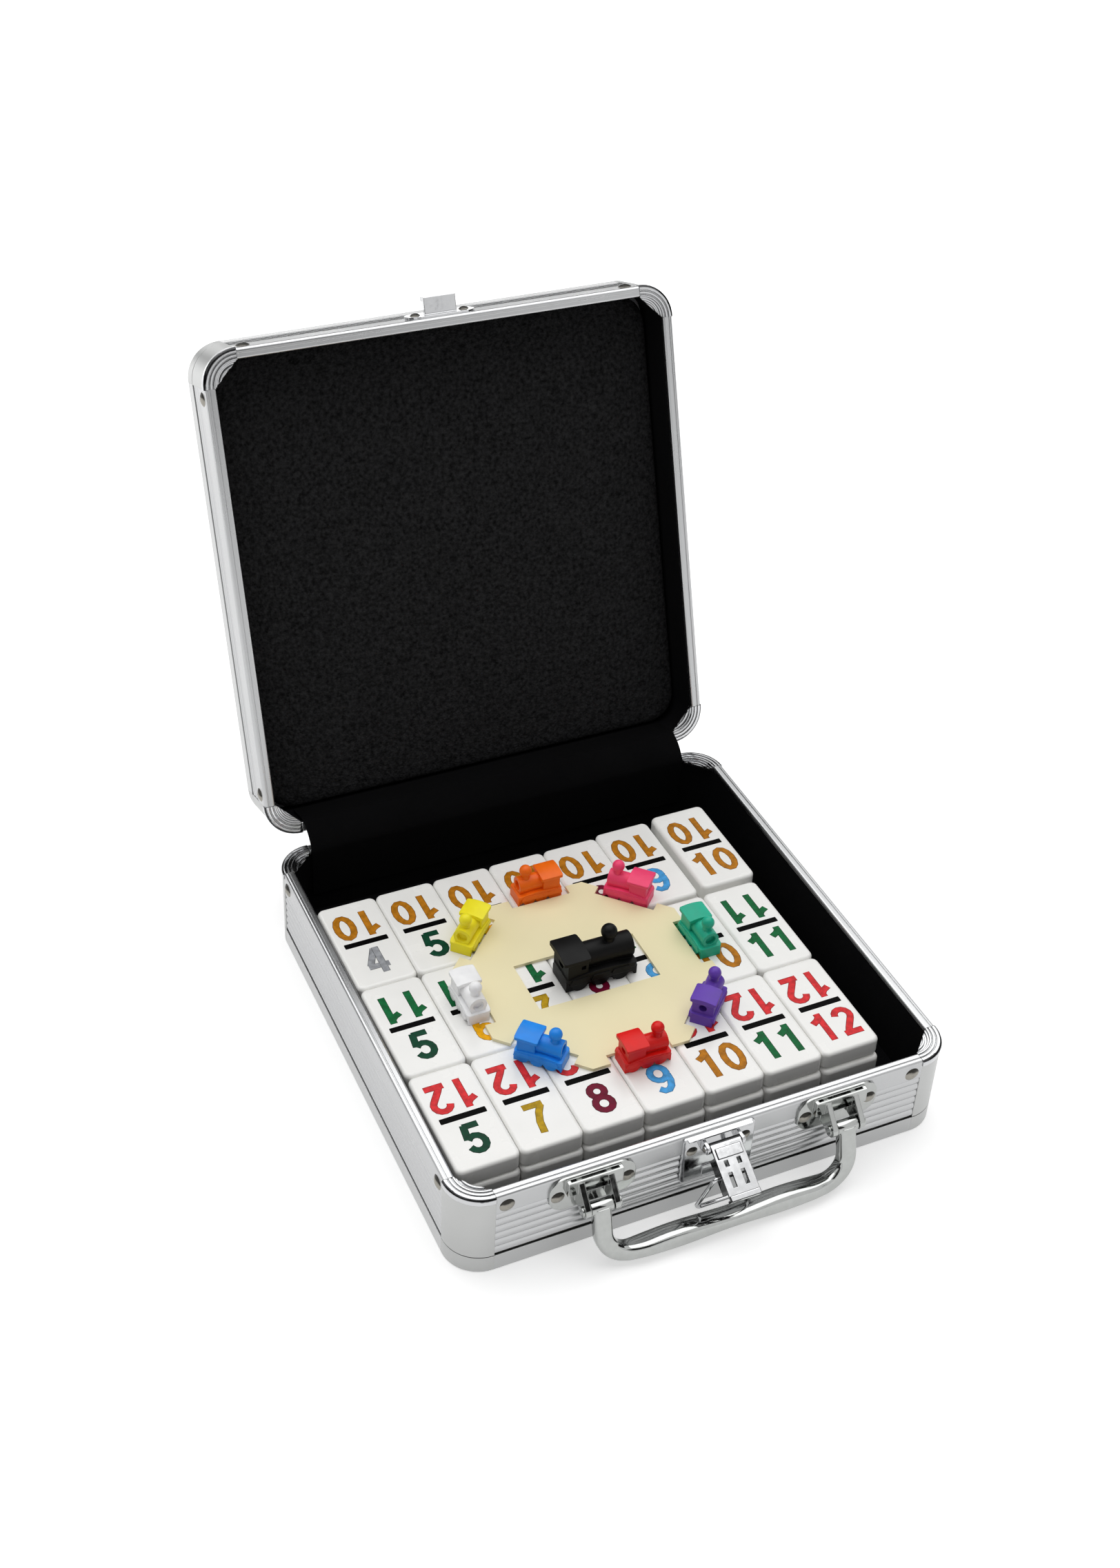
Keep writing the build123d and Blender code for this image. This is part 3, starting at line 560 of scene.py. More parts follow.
@dataclass(frozen=True)
class BlackFelt(Recipe):
    """Thin black lining with a short matted pile."""

    colour: Triple = (0.004, 0.004, 0.0045)

    def lay(self, sheet: NodeSheet) -> None:
        """Lay the nodes.

        Args:
            sheet: The new material's nodes.
        """
        fibres = sheet.noise(2600, 4, (1.0, 1.0, 2.5))
        cloud = sheet.noise(60, 3)
        sheet.tint(fibres, self.colour, 0.6, 1.6)
        sheet.rough(cloud, 0.85, 0.97)
        sheet.relief(fibres, 0.2 * MM, 0.6)
        sheet.set(Specular_IOR_Level=0.06)


@dataclass(frozen=True)
class WovenCloth(Recipe):
    """Black woven cloth, its threads following the piece's own map."""

    colour: Triple = (0.004, 0.004, 0.0045)
    threads: float = 260.0

    def lay(self, sheet: NodeSheet) -> None:
        """Lay the nodes.

        Args:
            sheet: The new material's nodes.
        """
        coordinates = sheet.add("TexCoord")
        threads = []
        for direction in ("X", "Y"):
            wave = sheet.add("TexWave", bands_direction=direction)
            wave.inputs["Scale"].default_value = self.threads
            wave.inputs["Distortion"].default_value = 0.6
            sheet.join(coordinates.outputs["UV"], wave.inputs["Vector"])
            threads.append(wave.outputs["Fac"])
        weave = sheet.combine("MULTIPLY", *threads)
        cloud = sheet.noise(45, 3)
        sheet.tint(weave, self.colour, 0.5, 1.8)
        sheet.rough(cloud, 0.8, 0.93)
        sheet.relief(weave, 0.2 * MM, 0.7)
        sheet.set(Specular_IOR_Level=0.06)


@dataclass(frozen=True)
class GrainedPanel(Recipe):
    """Black moulded sheet with a pebbled grain, for the underside."""

    colour: Triple = (0.03, 0.03, 0.032)

    def lay(self, sheet: NodeSheet) -> None:
        """Lay the nodes.

        Args:
            sheet: The new material's nodes.
        """
        grain = sheet.cells(900, feature="SMOOTH_F1")
        cloud = sheet.noise(30, 3)
        sheet.tint(cloud, self.colour, 0.8, 1.3)
        sheet.rough(cloud, 0.5, 0.62)
        sheet.relief(grain, 0.3 * MM, 0.5)


@dataclass(frozen=True)
class RawBoard(Recipe):
    """Pressed fibreboard coloured near black as painted shade, seen only in the gap above the angle
    strips.
    """

    # near black so that the gap above the angle strips reads dark: painted shade
    colour: Triple = (0.03, 0.025, 0.02)

    def lay(self, sheet: NodeSheet) -> None:
        """Lay the nodes.

        Args:
            sheet: The new material's nodes.
        """
        fibres = sheet.noise(900, 5, (1.0, 1.0, 6.0))
        sheet.tint(fibres, self.colour, 0.7, 1.25)
        sheet.relief(fibres, 0.2 * MM, 0.5)
        sheet.set(Roughness=0.85)


@dataclass(frozen=True)
class CurtainBlack(Recipe):
    """Matt black drapery of the studio."""

    colour: Triple = (0.02, 0.02, 0.02)

    def lay(self, sheet: NodeSheet) -> None:
        """Set the shader's constants.

        Args:
            sheet: The new material's nodes.
        """
        sheet.set(Base_Color=(*self.colour, 1), Roughness=0.9, Specular_IOR_Level=0.1)


class Finish(Enum):
    """The finishes that more than one piece takes."""

    RAIL = SatinAluminium("rail_aluminium", (0.48, 0.485, 0.49), 0.28)
    BAND = SatinAluminium("band_aluminium", (0.47, 0.475, 0.475), 0.24)
    SKIN = SatinAluminium("ribbed_aluminium", (0.48, 0.485, 0.49), 0.24)
    POST = SatinAluminium("post_aluminium", (0.465, 0.47, 0.465), 0.34)
    SHEET = SatinAluminium("lid_sheet_aluminium", (0.60, 0.61, 0.62), 0.36, haze=0.008)
    CHROME = BrightChrome("bright_chrome", (0.55, 0.555, 0.565))
    # darker than CHROME as painted reflection: the handle, its brackets and pins mirror darker
    # surroundings
    NICKEL = BrightChrome("handle_darkened_chrome", (0.41, 0.42, 0.41))
    RIVET = DullSteel("rivet_steel")
    # the hinge steel's third value is the share of its painted rim shade
    HINGE = DullSteel("hinge_steel", (0.46, 0.46, 0.47), 0.5)
    BOARD = RawBoard("fibreboard")
    CORNER = MouldedPlastic("corner_plastic", (0.03, 0.03, 0.03), 0.5)
    PANEL = GrainedPanel("base_sheet")
    FELT = BlackFelt("black_lining")
    FOAM = OpenFoam("lid_foam")
    CLOTH = WovenCloth("hinge_weave")
    TILE = PolishedResin("tile_resin")
    HUB = SatinPlastic("hub_plastic", (0.87, 0.785, 0.50))
    BAR = EngravedPaint("bar_paint", (0.001, 0.001, 0.001), 0.03)


class FinishRack:
    """Makes each finish once and hands it out."""

    made: dict[str, bpy.types.Material] = {}

    @classmethod
    def take(cls, finish: Recipe | Finish) -> bpy.types.Material:
        """The material of a finish.

        Args:
            finish: A finish, or a member of Finish.

        Returns:
            Its material, made on first use.
        """
        recipe = finish.value if isinstance(finish, Finish) else finish
        if recipe.name not in cls.made:
            cls.made[recipe.name] = recipe.build()
        return cls.made[recipe.name]


def dress(thing: Thing, finish: Recipe | Finish) -> None:
    """Give every material slot of an object one finish.

    Args:
        thing: The object.
        finish: Its finish.
    """
    material = FinishRack.take(finish)
    if not thing.material_slots:
        thing.data.materials.append(material)
    for slot in thing.material_slots:
        slot.material = material


def dress_node(node: str, finish: Recipe | Finish) -> None:
    """Give a CAD node one finish.

    Args:
        node: The node's name.
        finish: Its finish.
    """
    dress(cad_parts[node], finish)


def clear_selection() -> None:
    """Leave nothing selected and no object in edit mode."""
    if bpy.context.mode != "OBJECT":
        bpy.ops.object.mode_set(mode="OBJECT")
    bpy.ops.object.select_all(action="DESELECT")


def select_only(thing: Thing) -> None:
    """Select one object alone and make it the active one.

    Args:
        thing: The object.
    """
    clear_selection()
    thing.select_set(True)
    bpy.context.view_layer.objects.active = thing


def settle(thing: Thing) -> None:
    """Put an object's place into its mesh, so that the object sits at the origin.

    Args:
        thing: The object.
    """
    select_only(thing)
    bpy.ops.object.transform_apply(location=True, rotation=True, scale=True)


def finish_modifiers(thing: Thing) -> None:
    """Apply every modifier of an object, in order.

    Args:
        thing: The object.
    """
    select_only(thing)
    for modifier in list(thing.modifiers):
        bpy.ops.object.modifier_apply(modifier=modifier.name)


def soften(thing: Thing, width: float, segments: int) -> None:
    """Bevel the sharp edges of an object.

    Args:
        thing: The object.
        width: The bevel's width.
        segments: How many strips it has.
    """
    bevel = thing.modifiers.new("edges", "BEVEL")
    bevel.limit_method = "ANGLE"
    bevel.width = width
    bevel.segments = segments
    finish_modifiers(thing)


def face_outward(thing: Thing) -> None:
    """Turn every face of a closed mesh outward, and leave the object selected.

    Args:
        thing: The object.
    """
    select_only(thing)
    bpy.ops.object.mode_set(mode="EDIT")
    bpy.ops.mesh.select_all(action="SELECT")
    bpy.ops.mesh.normals_make_consistent(inside=False)
    bpy.ops.object.mode_set(mode="OBJECT")


def block(name: str, size: Triple, middle: Triple) -> Thing:
    """Model a plain block.

    Args:
        name: Its name.
        size: Its size along each axis.
        middle: Its middle.

    Returns:
        The block.
    """
    clear_selection()
    bpy.ops.mesh.primitive_cube_add(size=1, location=middle)
    thing = bpy.context.object
    thing.name = name
    thing.scale = size
    settle(thing)
    return thing


def linked(name: str, data: bpy.types.ID) -> Thing:
    """Put a new object into the scene.

    Args:
        name: Its name.
        data: Its mesh, curve, lamp or camera.

    Returns:
        The object.
    """
    thing = bpy.data.objects.new(name, data)
    bpy.context.scene.collection.objects.link(thing)
    return thing


def joined(name: str, things: list[Thing]) -> Thing:
    """Join objects into one piece with its place in its mesh.

    Args:
        name: The piece's name.
        things: The objects.

    Returns:
        The piece.
    """
    clear_selection()
    for thing in things:
        thing.select_set(True)
    bpy.context.view_layer.objects.active = things[0]
    if len(things) > 1:
        bpy.ops.object.join()
    piece = bpy.context.view_layer.objects.active
    piece.name = name
    settle(piece)
    return piece


@dataclass
class LidPlace:
    """Where the open lid stands: from its own upright tray frame to the set's frame."""

    hinge_y: float = 106.95 * MM
    hinge_z: float = 39.05 * MM
    top: float = 65.25 * MM
    open_angle: float = 108.77

    def matrix(self) -> Matrix:
        """Where a thing drawn in the lid tray's own frame goes.

        Returns:
            The placing matrix.
        """
        over = Matrix.Translation((0, 0, self.top)) @ Matrix.Rotation(math.pi, 4, "X")
        return self.opening() @ over

    def facing(self) -> Triple:
        """The way the open lid's rim faces.

        Returns:
            The direction.
        """
        turn = math.radians(self.open_angle)
        return (0.0, -math.sin(turn), -math.cos(turn))

    def opening(self) -> Matrix:
        """How the closed lid opens.

        Returns:
            The opening matrix.
        """
        there = Matrix.Translation((0, self.hinge_y, self.hinge_z))
        turn = Matrix.Rotation(-math.radians(self.open_angle), 4, "X")
        return there @ turn @ there.inverted()


@dataclass
class CaseTray:
    """One tray of the case, the base or the lid, dressed in its metals."""

    side: str

    def dress(self) -> None:
        """Dress every node of the tray."""
        faces = (0.0, 0.0, 1.0) if self.side == "base" else LidPlace().facing()
        finishes = {
            "rails": Finish.RAIL,
            "bands": Finish.BAND,
            "skins": Finish.SKIN,
            "posts": Finish.POST,
            "feet": Finish.POST,
            # the caps' plating carries painted reflection: dark lines where their edges and grooves
            # turn from the tray's face
            "caps": FacedChrome(f"{self.side}_cap_chrome", faces),
            "rivets": Finish.RIVET,
            "boards": Finish.BOARD,
            "corner_blocks": Finish.CORNER,
            "lining": Finish.FELT,
            "hinge_leaves": Finish.HINGE,
            "hinge_rivets": Finish.RIVET,
            "panel": Finish.PANEL if self.side == "base" else Finish.SHEET,
        }
        for part, finish in finishes.items():
            dress_node(f"{self.side}_{part}", finish)
        if self.side == "base":
            dress_node("base_floor_lining", Finish.FELT)
            dress_node("hinge_pins", Finish.HINGE)
        log.info("%s tray dressed", self.side)


@dataclass
class FoamPad:
    """The lid's foam pad: a thick sheet with rounded corners, soft edges and a slight crown."""

    half_side: float = 98.5 * MM
    base: float = 3.3 * MM
    thickness: float = 7.0 * MM
    corner_radius: float = 13.0 * MM
    corner_parts: int = 8
    edge_radius: float = 2.4 * MM
    edge_parts: int = 4
    voxel: float = 1.6 * MM
    smoothing: int = 3
    crown: float = 0.3 * MM
    sway_share: float = 0.35
    sway_turns: Pair = (61.0, 47.0)
    sway_start: float = 1.3
    lid: LidPlace = field(default_factory=LidPlace)

    def build(self) -> Thing:
        """Model the pad and set it in the lid.

        Returns:
            The pad.
        """
        size = (2 * self.half_side, 2 * self.half_side, self.thickness)
        pad = block("lid_foam", size, (0, 0, self.base + self.thickness / 2))
        self.round_corners(pad)
        face_outward(pad)
        remesh = pad.modifiers.new("remesh", "REMESH")
        remesh.mode = "VOXEL"
        remesh.voxel_size = self.voxel
        smooth = pad.modifiers.new("smooth", "SMOOTH")
        smooth.iterations = self.smoothing
        finish_modifiers(pad)
        self.swell(pad)
        select_only(pad)
        bpy.ops.object.shade_smooth()
        pad.matrix_world = self.lid.matrix()
        settle(pad)
        return pad

    def round_corners(self, pad: Thing) -> None:
        """Bevel the upright corners, then the rim of the soft face.

        Args:
            pad: The plain slab.
        """
        top = self.base + self.thickness
        for level, width, parts in (
            (0, self.corner_radius, self.corner_parts),
            (1, self.edge_radius, self.edge_parts),
        ):
            select_only(pad)
            bpy.ops.object.mode_set(mode="EDIT")
            bpy.ops.mesh.select_all(action="DESELECT")
            bpy.ops.object.mode_set(mode="OBJECT")
            for edge in pad.data.edges:
                heights = [pad.data.vertices[v].co.z for v in edge.vertices]
                upright = abs(heights[0] - heights[1]) > self.thickness / 2
                rim = all(abs(height - top) < TINY for height in heights)
                edge.select = upright if level == 0 else rim
            bpy.ops.object.mode_set(mode="EDIT")
            bpy.ops.mesh.select_mode(type="EDGE")
            bpy.ops.mesh.bevel(offset=width, segments=parts, profile=0.5)
            bpy.ops.object.mode_set(mode="OBJECT")

    def swell(self, pad: Thing) -> None:
        """Raise a slight crown and an uneven hand-cut surface on the soft face.

        Args:
            pad: The rounded slab.
        """
        top = self.base + self.thickness
        for vertex in pad.data.vertices:
            height = (vertex.co.z - self.base) / self.thickness
            away = max(abs(vertex.co.x), abs(vertex.co.y)) / self.half_side
            if height > 0.5:
                sway = math.sin(vertex.co.x * self.sway_turns[0])
                sway *= math.cos(vertex.co.y * self.sway_turns[1] + self.sway_start)
                vertex.co.z += self.crown * (self.sway_share * sway - away**4) * (height - 0.5) * 2
            vertex.co.z = min(vertex.co.z, top)

    def dress(self) -> None:
        pad = self.build()
        dress(pad, Finish.FOAM)
        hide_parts("lid_foam_pad")
        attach(pad, "lid")
        inward = (self.lid.matrix().to_3x3() @ Vector((0, 0, 1))).normalized()
        anchor = self.lid.matrix() @ Vector((0, 0, self.base))
        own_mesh(pad)
        log.info("foam pad laid in the lid")


@dataclass
class HingeCloth:
    """The black cloth that covers the gap at the back, from the base wall onto the lid wall."""

    half_width: float = 88.3 * MM
    thickness: float = 0.5 * MM
    wall_y: float = 98.8 * MM
    base_rim: float = 38.65 * MM
    lid_rim: float = 38.95 * MM
    drop: float = 24.0 * MM
    rise: float = 14.4 * MM
    stand_off: float = 0.15 * MM
    wall_shares: tuple[float, ...] = (0, 0.33, 0.66, 1)
    gap_steps: int = 8
    bow: float = 1.1 * MM
    ripple: float = 0.12 * MM
    ripple_turns: float = 39.0
    ripple_drift: float = 4.0
    columns: int = 60
    rows: int = 40
    smooth_angle: float = 40.0
    lid: LidPlace = field(default_factory=LidPlace)

    def spine(self) -> list[Vector]:
        """The cloth's line in the YZ plane, from the base wall to the lid wall.

        Returns:
            Its points.
        """
        opening = self.lid.opening()
        y = self.wall_y - self.stand_off
        heights = [self.base_rim - share * self.drop for share in reversed(self.wall_shares)]
        points = [Vector((0, y, height)) for height in heights]
        start = points[-1]
        end = opening @ Vector((0, y, self.lid_rim))
        for step in range(1, self.gap_steps):
            share = step / self.gap_steps
            swell = self.bow * math.sin(math.pi * share)
            points.append(start.lerp(end, share) + Vector((0, -swell, swell)))
        for share in self.wall_shares:
            points.append(opening @ Vector((0, y, self.lid_rim + share * self.rise)))
        return points

    def length(self) -> float:
        """Measure the cloth along its line.

        Returns:
            Its length.
        """
        points = self.spine()
        return sum((b - a).length for a, b in zip(points, points[1:]))

    def at(self, share: float) -> Vector:
        """The point at a share of the way along the cloth's line.

        Args:
            share: From 0 at the base end to 1 at the lid end.

        Returns:
            The point.
        """
        points = self.spine()
        wanted = share * self.length()
        for a, b in zip(points, points[1:]):
            step = (b - a).length
            if wanted <= step:
                return a.lerp(b, wanted / step)
            wanted -= step
        return points[-1]

    def build(self) -> Thing:
        """Model the cloth from a flat grid laid along its line.

        Returns:
            The cloth.
        """
        clear_selection()
        bpy.ops.mesh.primitive_grid_add(
            x_subdivisions=self.columns, y_subdivisions=self.rows, size=1
        )
        cloth = bpy.context.object
        cloth.name = "hinge_cover_cloth"
        lines = {}
        for vertex in cloth.data.vertices:
            share = round(vertex.co.y + 0.5, 5)
            if share not in lines:
                lines[share] = self.at(share)
            line = lines[share]
            wave = math.sin(vertex.co.x * self.ripple_turns + self.ripple_drift * share)
            ripple = self.ripple * wave * math.sin(math.pi * share)
            vertex.co = (vertex.co.x * 2 * self.half_width, line.y - ripple, line.z + ripple)
        body = cloth.modifiers.new("body", "SOLIDIFY")
        body.thickness = self.thickness
        body.offset = 1.0
        finish_modifiers(cloth)
        face_outward(cloth)
        bpy.ops.object.shade_smooth_by_angle(angle=math.radians(self.smooth_angle))
        return cloth

    def dress(self) -> None:
        cloth = self.build()
        dress(cloth, Finish.CLOTH)
        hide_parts("hinge_cloth")
        self.length()
        end = self.lid.opening() @ Vector((0, self.wall_y, self.lid_rim))
        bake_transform(cloth)
        log.info("hinge cloth hung")


@dataclass
class Handle:
    """The carrying handle and its brackets, in bright plating made darker than the other chrome as
    painted reflection of the darker surroundings they mirror.

    The handle is one casting: two legs, round bends and a grip that is deeper than the legs and
    gently waved. It is drawn hanging straight down from its pins, then turned to where it hangs.
    """

    plated: tuple[str, ...] = ("handle_brackets", "handle_pins")
    pin: Triple = (0.0, -111.75 * MM, 26.5 * MM)
    hang_angle: float = 15.0
    leg_x: float = 51.25 * MM
    leg_width: float = 7.1 * MM
    depth: float = 6.2 * MM
    reach: float = 26.1 * MM
    bend: float = 11.0 * MM
    edge_radius: float = 2.2 * MM
    edge_parts: int = 6
    leg_steps: int = 4
    bend_steps: int = 16
    grip_steps: int = 48
    grip_front: float = 1.9 * MM
    grip_back: float = 0.9 * MM
    grip_half: float = 34.0 * MM
    grip_blend: float = 14.0 * MM
    wave_height: float = 0.45 * MM
    wave_pitch: float = 44.0 * MM
    eye_radius: float = 2.6 * MM
    eye_width: float = 9.0 * MM
    eye_sides: int = 40
    eye_rim: float = 0.4 * MM
    eye_rim_parts: int = 3
    smooth_angle: float = 35.0

    def draw_out(self, way: Triple, count: int) -> None:
        """Draw the selected face out in equal steps.

        Args:
            way: How far all the steps go together.
            count: How many steps.
        """
        step = tuple(part / count for part in way)
        for _ in range(count):
            bpy.ops.mesh.extrude_region_move(TRANSFORM_OT_translate={"value": step})

    def bar(self) -> Thing:
        """Draw the legs, bends and grip from one rounded section.

        Returns:
            The bar.
        """
        clear_selection()
        bpy.ops.mesh.primitive_plane_add(size=1, location=(-self.leg_x, 0, 0))
        bar = bpy.context.object
        bar.scale = (self.leg_width, self.depth, 1)
        settle(bar)
        centre_z = -self.reach + self.leg_width / 2 + self.bend
        turn_x = self.leg_x - self.bend
        bpy.ops.object.mode_set(mode="EDIT")
        bpy.ops.mesh.select_all(action="SELECT")
        bpy.ops.mesh.bevel(offset=self.edge_radius, segments=self.edge_parts, affect="VERTICES")
        bpy.ops.mesh.select_all(action="SELECT")
        self.draw_out((0, 0, centre_z), self.leg_steps)
        for side in (-1, 1):
            bpy.ops.mesh.spin(
                steps=self.bend_steps,
                angle=math.pi / 2,
                center=(side * turn_x, 0, centre_z),
                axis=(0, 1, 0),
                use_auto_merge=False,
            )
            if side < 0:
                self.draw_out((2 * turn_x, 0, 0), self.grip_steps)
        self.draw_out((0, 0, -centre_z), self.leg_steps)
        bpy.ops.mesh.select_all(action="DESELECT")
        bpy.ops.mesh.select_interior_faces()
        bpy.ops.mesh.delete(type="FACE")
        face_outward(bar)
        return bar

    def shape_grip(self, bar: Thing) -> None:
        """Deepen the grip and give it its gentle waves.

        Args:
            bar: The bar, drawn with one section all along.
        """
        middle_z = -self.reach + self.leg_width / 2
        for vertex in bar.data.vertices:
            if vertex.co.z > middle_z + self.leg_width:
                continue
            share = (self.grip_half + self.grip_blend - abs(vertex.co.x)) / self.grip_blend
            share = min(max(share, 0.0), 1.0)
            share = share * share * (3 - 2 * share)
            side = vertex.co.y / (self.depth / 2)
            vertex.co.y += share * side * (self.grip_back if side > 0 else self.grip_front)
            rise = (vertex.co.z - middle_z) / (self.leg_width / 2)
            wave = -math.cos(math.tau * vertex.co.x / self.wave_pitch)
            vertex.co.z += share * rise * self.wave_height * wave

    def eye(self, x: float) -> Thing:
        """Model one eye of the handle, round its pin.

        Args:
            x: Its middle along the pins.

        Returns:
            The eye.
        """
        clear_selection()
        bpy.ops.mesh.primitive_cylinder_add(
            vertices=self.eye_sides,
            radius=self.eye_radius,
            depth=self.eye_width,
            location=(x, 0, 0),
            rotation=(0, math.pi / 2, 0),
        )
        eye = bpy.context.object
        settle(eye)
        soften(eye, self.eye_rim, self.eye_rim_parts)
        return eye

    def build(self) -> Thing:
        """Model the handle and hang it from its pins.

        Returns:
            The handle.
        """
        bar = self.bar()
        self.shape_grip(bar)
        handle = joined("handle_casting", [bar, *(self.eye(x) for x in (-self.leg_x, self.leg_x))])
        bpy.ops.object.shade_smooth_by_angle(angle=math.radians(self.smooth_angle))
        turn = Matrix.Rotation(-math.radians(self.hang_angle), 4, "X")
        handle.matrix_world = Matrix.Translation(self.pin) @ turn
        settle(handle)
        return handle

    def dress(self) -> None:
        """Build the handle and dress its fittings."""
        handle = self.build()
        dress(handle, Finish.NICKEL)
        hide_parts("carrying_handle")
        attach(handle, "handle")
        for node in self.plated:
            dress_node(node, Finish.NICKEL)
        dress_node("handle_bracket_rivets", Finish.RIVET)
        log.info("handle dressed")


@dataclass
class ToggleLatch:
    """The latch on the base front and its keeper on the lid.

    Each pressing is a raised step on the lever's face: its width, where it starts and ends along
    the lever from the pin, and how far it stands up.
    """

    chromed: tuple[str, ...] = ("latch_plate", "latch_loop", "latch_pin", "keeper")
    pin: Triple = (0.0, -108.75 * MM, 34.5 * MM)
    hang_angle: float = 30.0
    face_height: float = 1.9 * MM
    root_step: tuple[float, float, float, float] = (10.6 * MM, 1.0 * MM, 5.2 * MM, 0.5 * MM)
    foot_lip: tuple[float, float, float, float] = (12.5 * MM, 18.7 * MM, 21.0 * MM, 0.6 * MM)
    sunk: float = 0.2 * MM
    edge_radius: float = 0.35 * MM
    edge_parts: int = 3

    def plating(self) -> FacedChrome:
        """The lever's plating, with painted reflection dark at its edges and painted shade in its
        slots.

        Returns:
            The finish.
        """
        turn = math.radians(self.hang_angle)
        return FacedChrome(
            "lever_chrome",
            (0.0, -math.sin(turn), math.cos(turn)),
            (0.66, 0.665, 0.675),
            rounding=0.3 * MM,
            dark_share=0.05,
            # a low side share darkens the slot walls as painted shade
            side_share=0.1,
            waviness=0.06 * MM,
        )

    def pressing(self, name: str, step: tuple[float, float, float, float]) -> None:
        """Raise one step on the lever's face.

        Args:
            name: The step's name.
            step: Its width, start, end and height.
        """
        width, start, end, height = step
        middle = (0, -(start + end) / 2, self.face_height + (height - self.sunk) / 2)
        piece = block(name, (width, end - start, height + self.sunk), middle)
        soften(piece, self.edge_radius, self.edge_parts)
        turn = Matrix.Rotation(math.radians(self.hang_angle), 4, "X")
        piece.matrix_world = Matrix.Translation(self.pin) @ turn
        settle(piece)
        dress(piece, self.plating())
        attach(piece, "latch_lever")

    def dress(self) -> None:
        """Dress the latch's nodes and press the lever's steps."""
        for node in self.chromed:
            dress_node(node, Finish.CHROME)
        dress_node("latch_lever", self.plating())
        self.pressing("lever_root_step", self.root_step)
        self.pressing("lever_foot_lip", self.foot_lip)
        dress_node("latch_rivets", Finish.RIVET)
        dress_node("keeper_rivets", Finish.RIVET)
        log.info("latch dressed")


class NumeralPaint(Enum):
    """The colour each number is painted in."""

    ONE = (1, (0.16, 0.50, 0.50))
    TWO = (2, (0.30, 0.13, 0.42))
    THREE = (3, (0.72, 0.16, 0.36))
    FOUR = (4, (0.32, 0.33, 0.35))
    FIVE = (5, (0.0, 0.05, 0.022))
    SIX = (6, (0.88, 0.42, 0.004))
    SEVEN = (7, (0.50, 0.31, 0.01))
    EIGHT = (8, (0.16, 0.003, 0.025))
    NINE = (9, (0.07, 0.36, 0.75))
    TEN = (10, (0.48, 0.18, 0.008))
    ELEVEN = (11, (0.002, 0.13, 0.035))
    TWELVE = (12, (0.72, 0.035, 0.04))

    def finish(self) -> EngravedPaint:
        """The paint of this number.

        Returns:
            Its finish.
        """
        return EngravedPaint(f"paint_{self.name.lower()}", self.value[1])


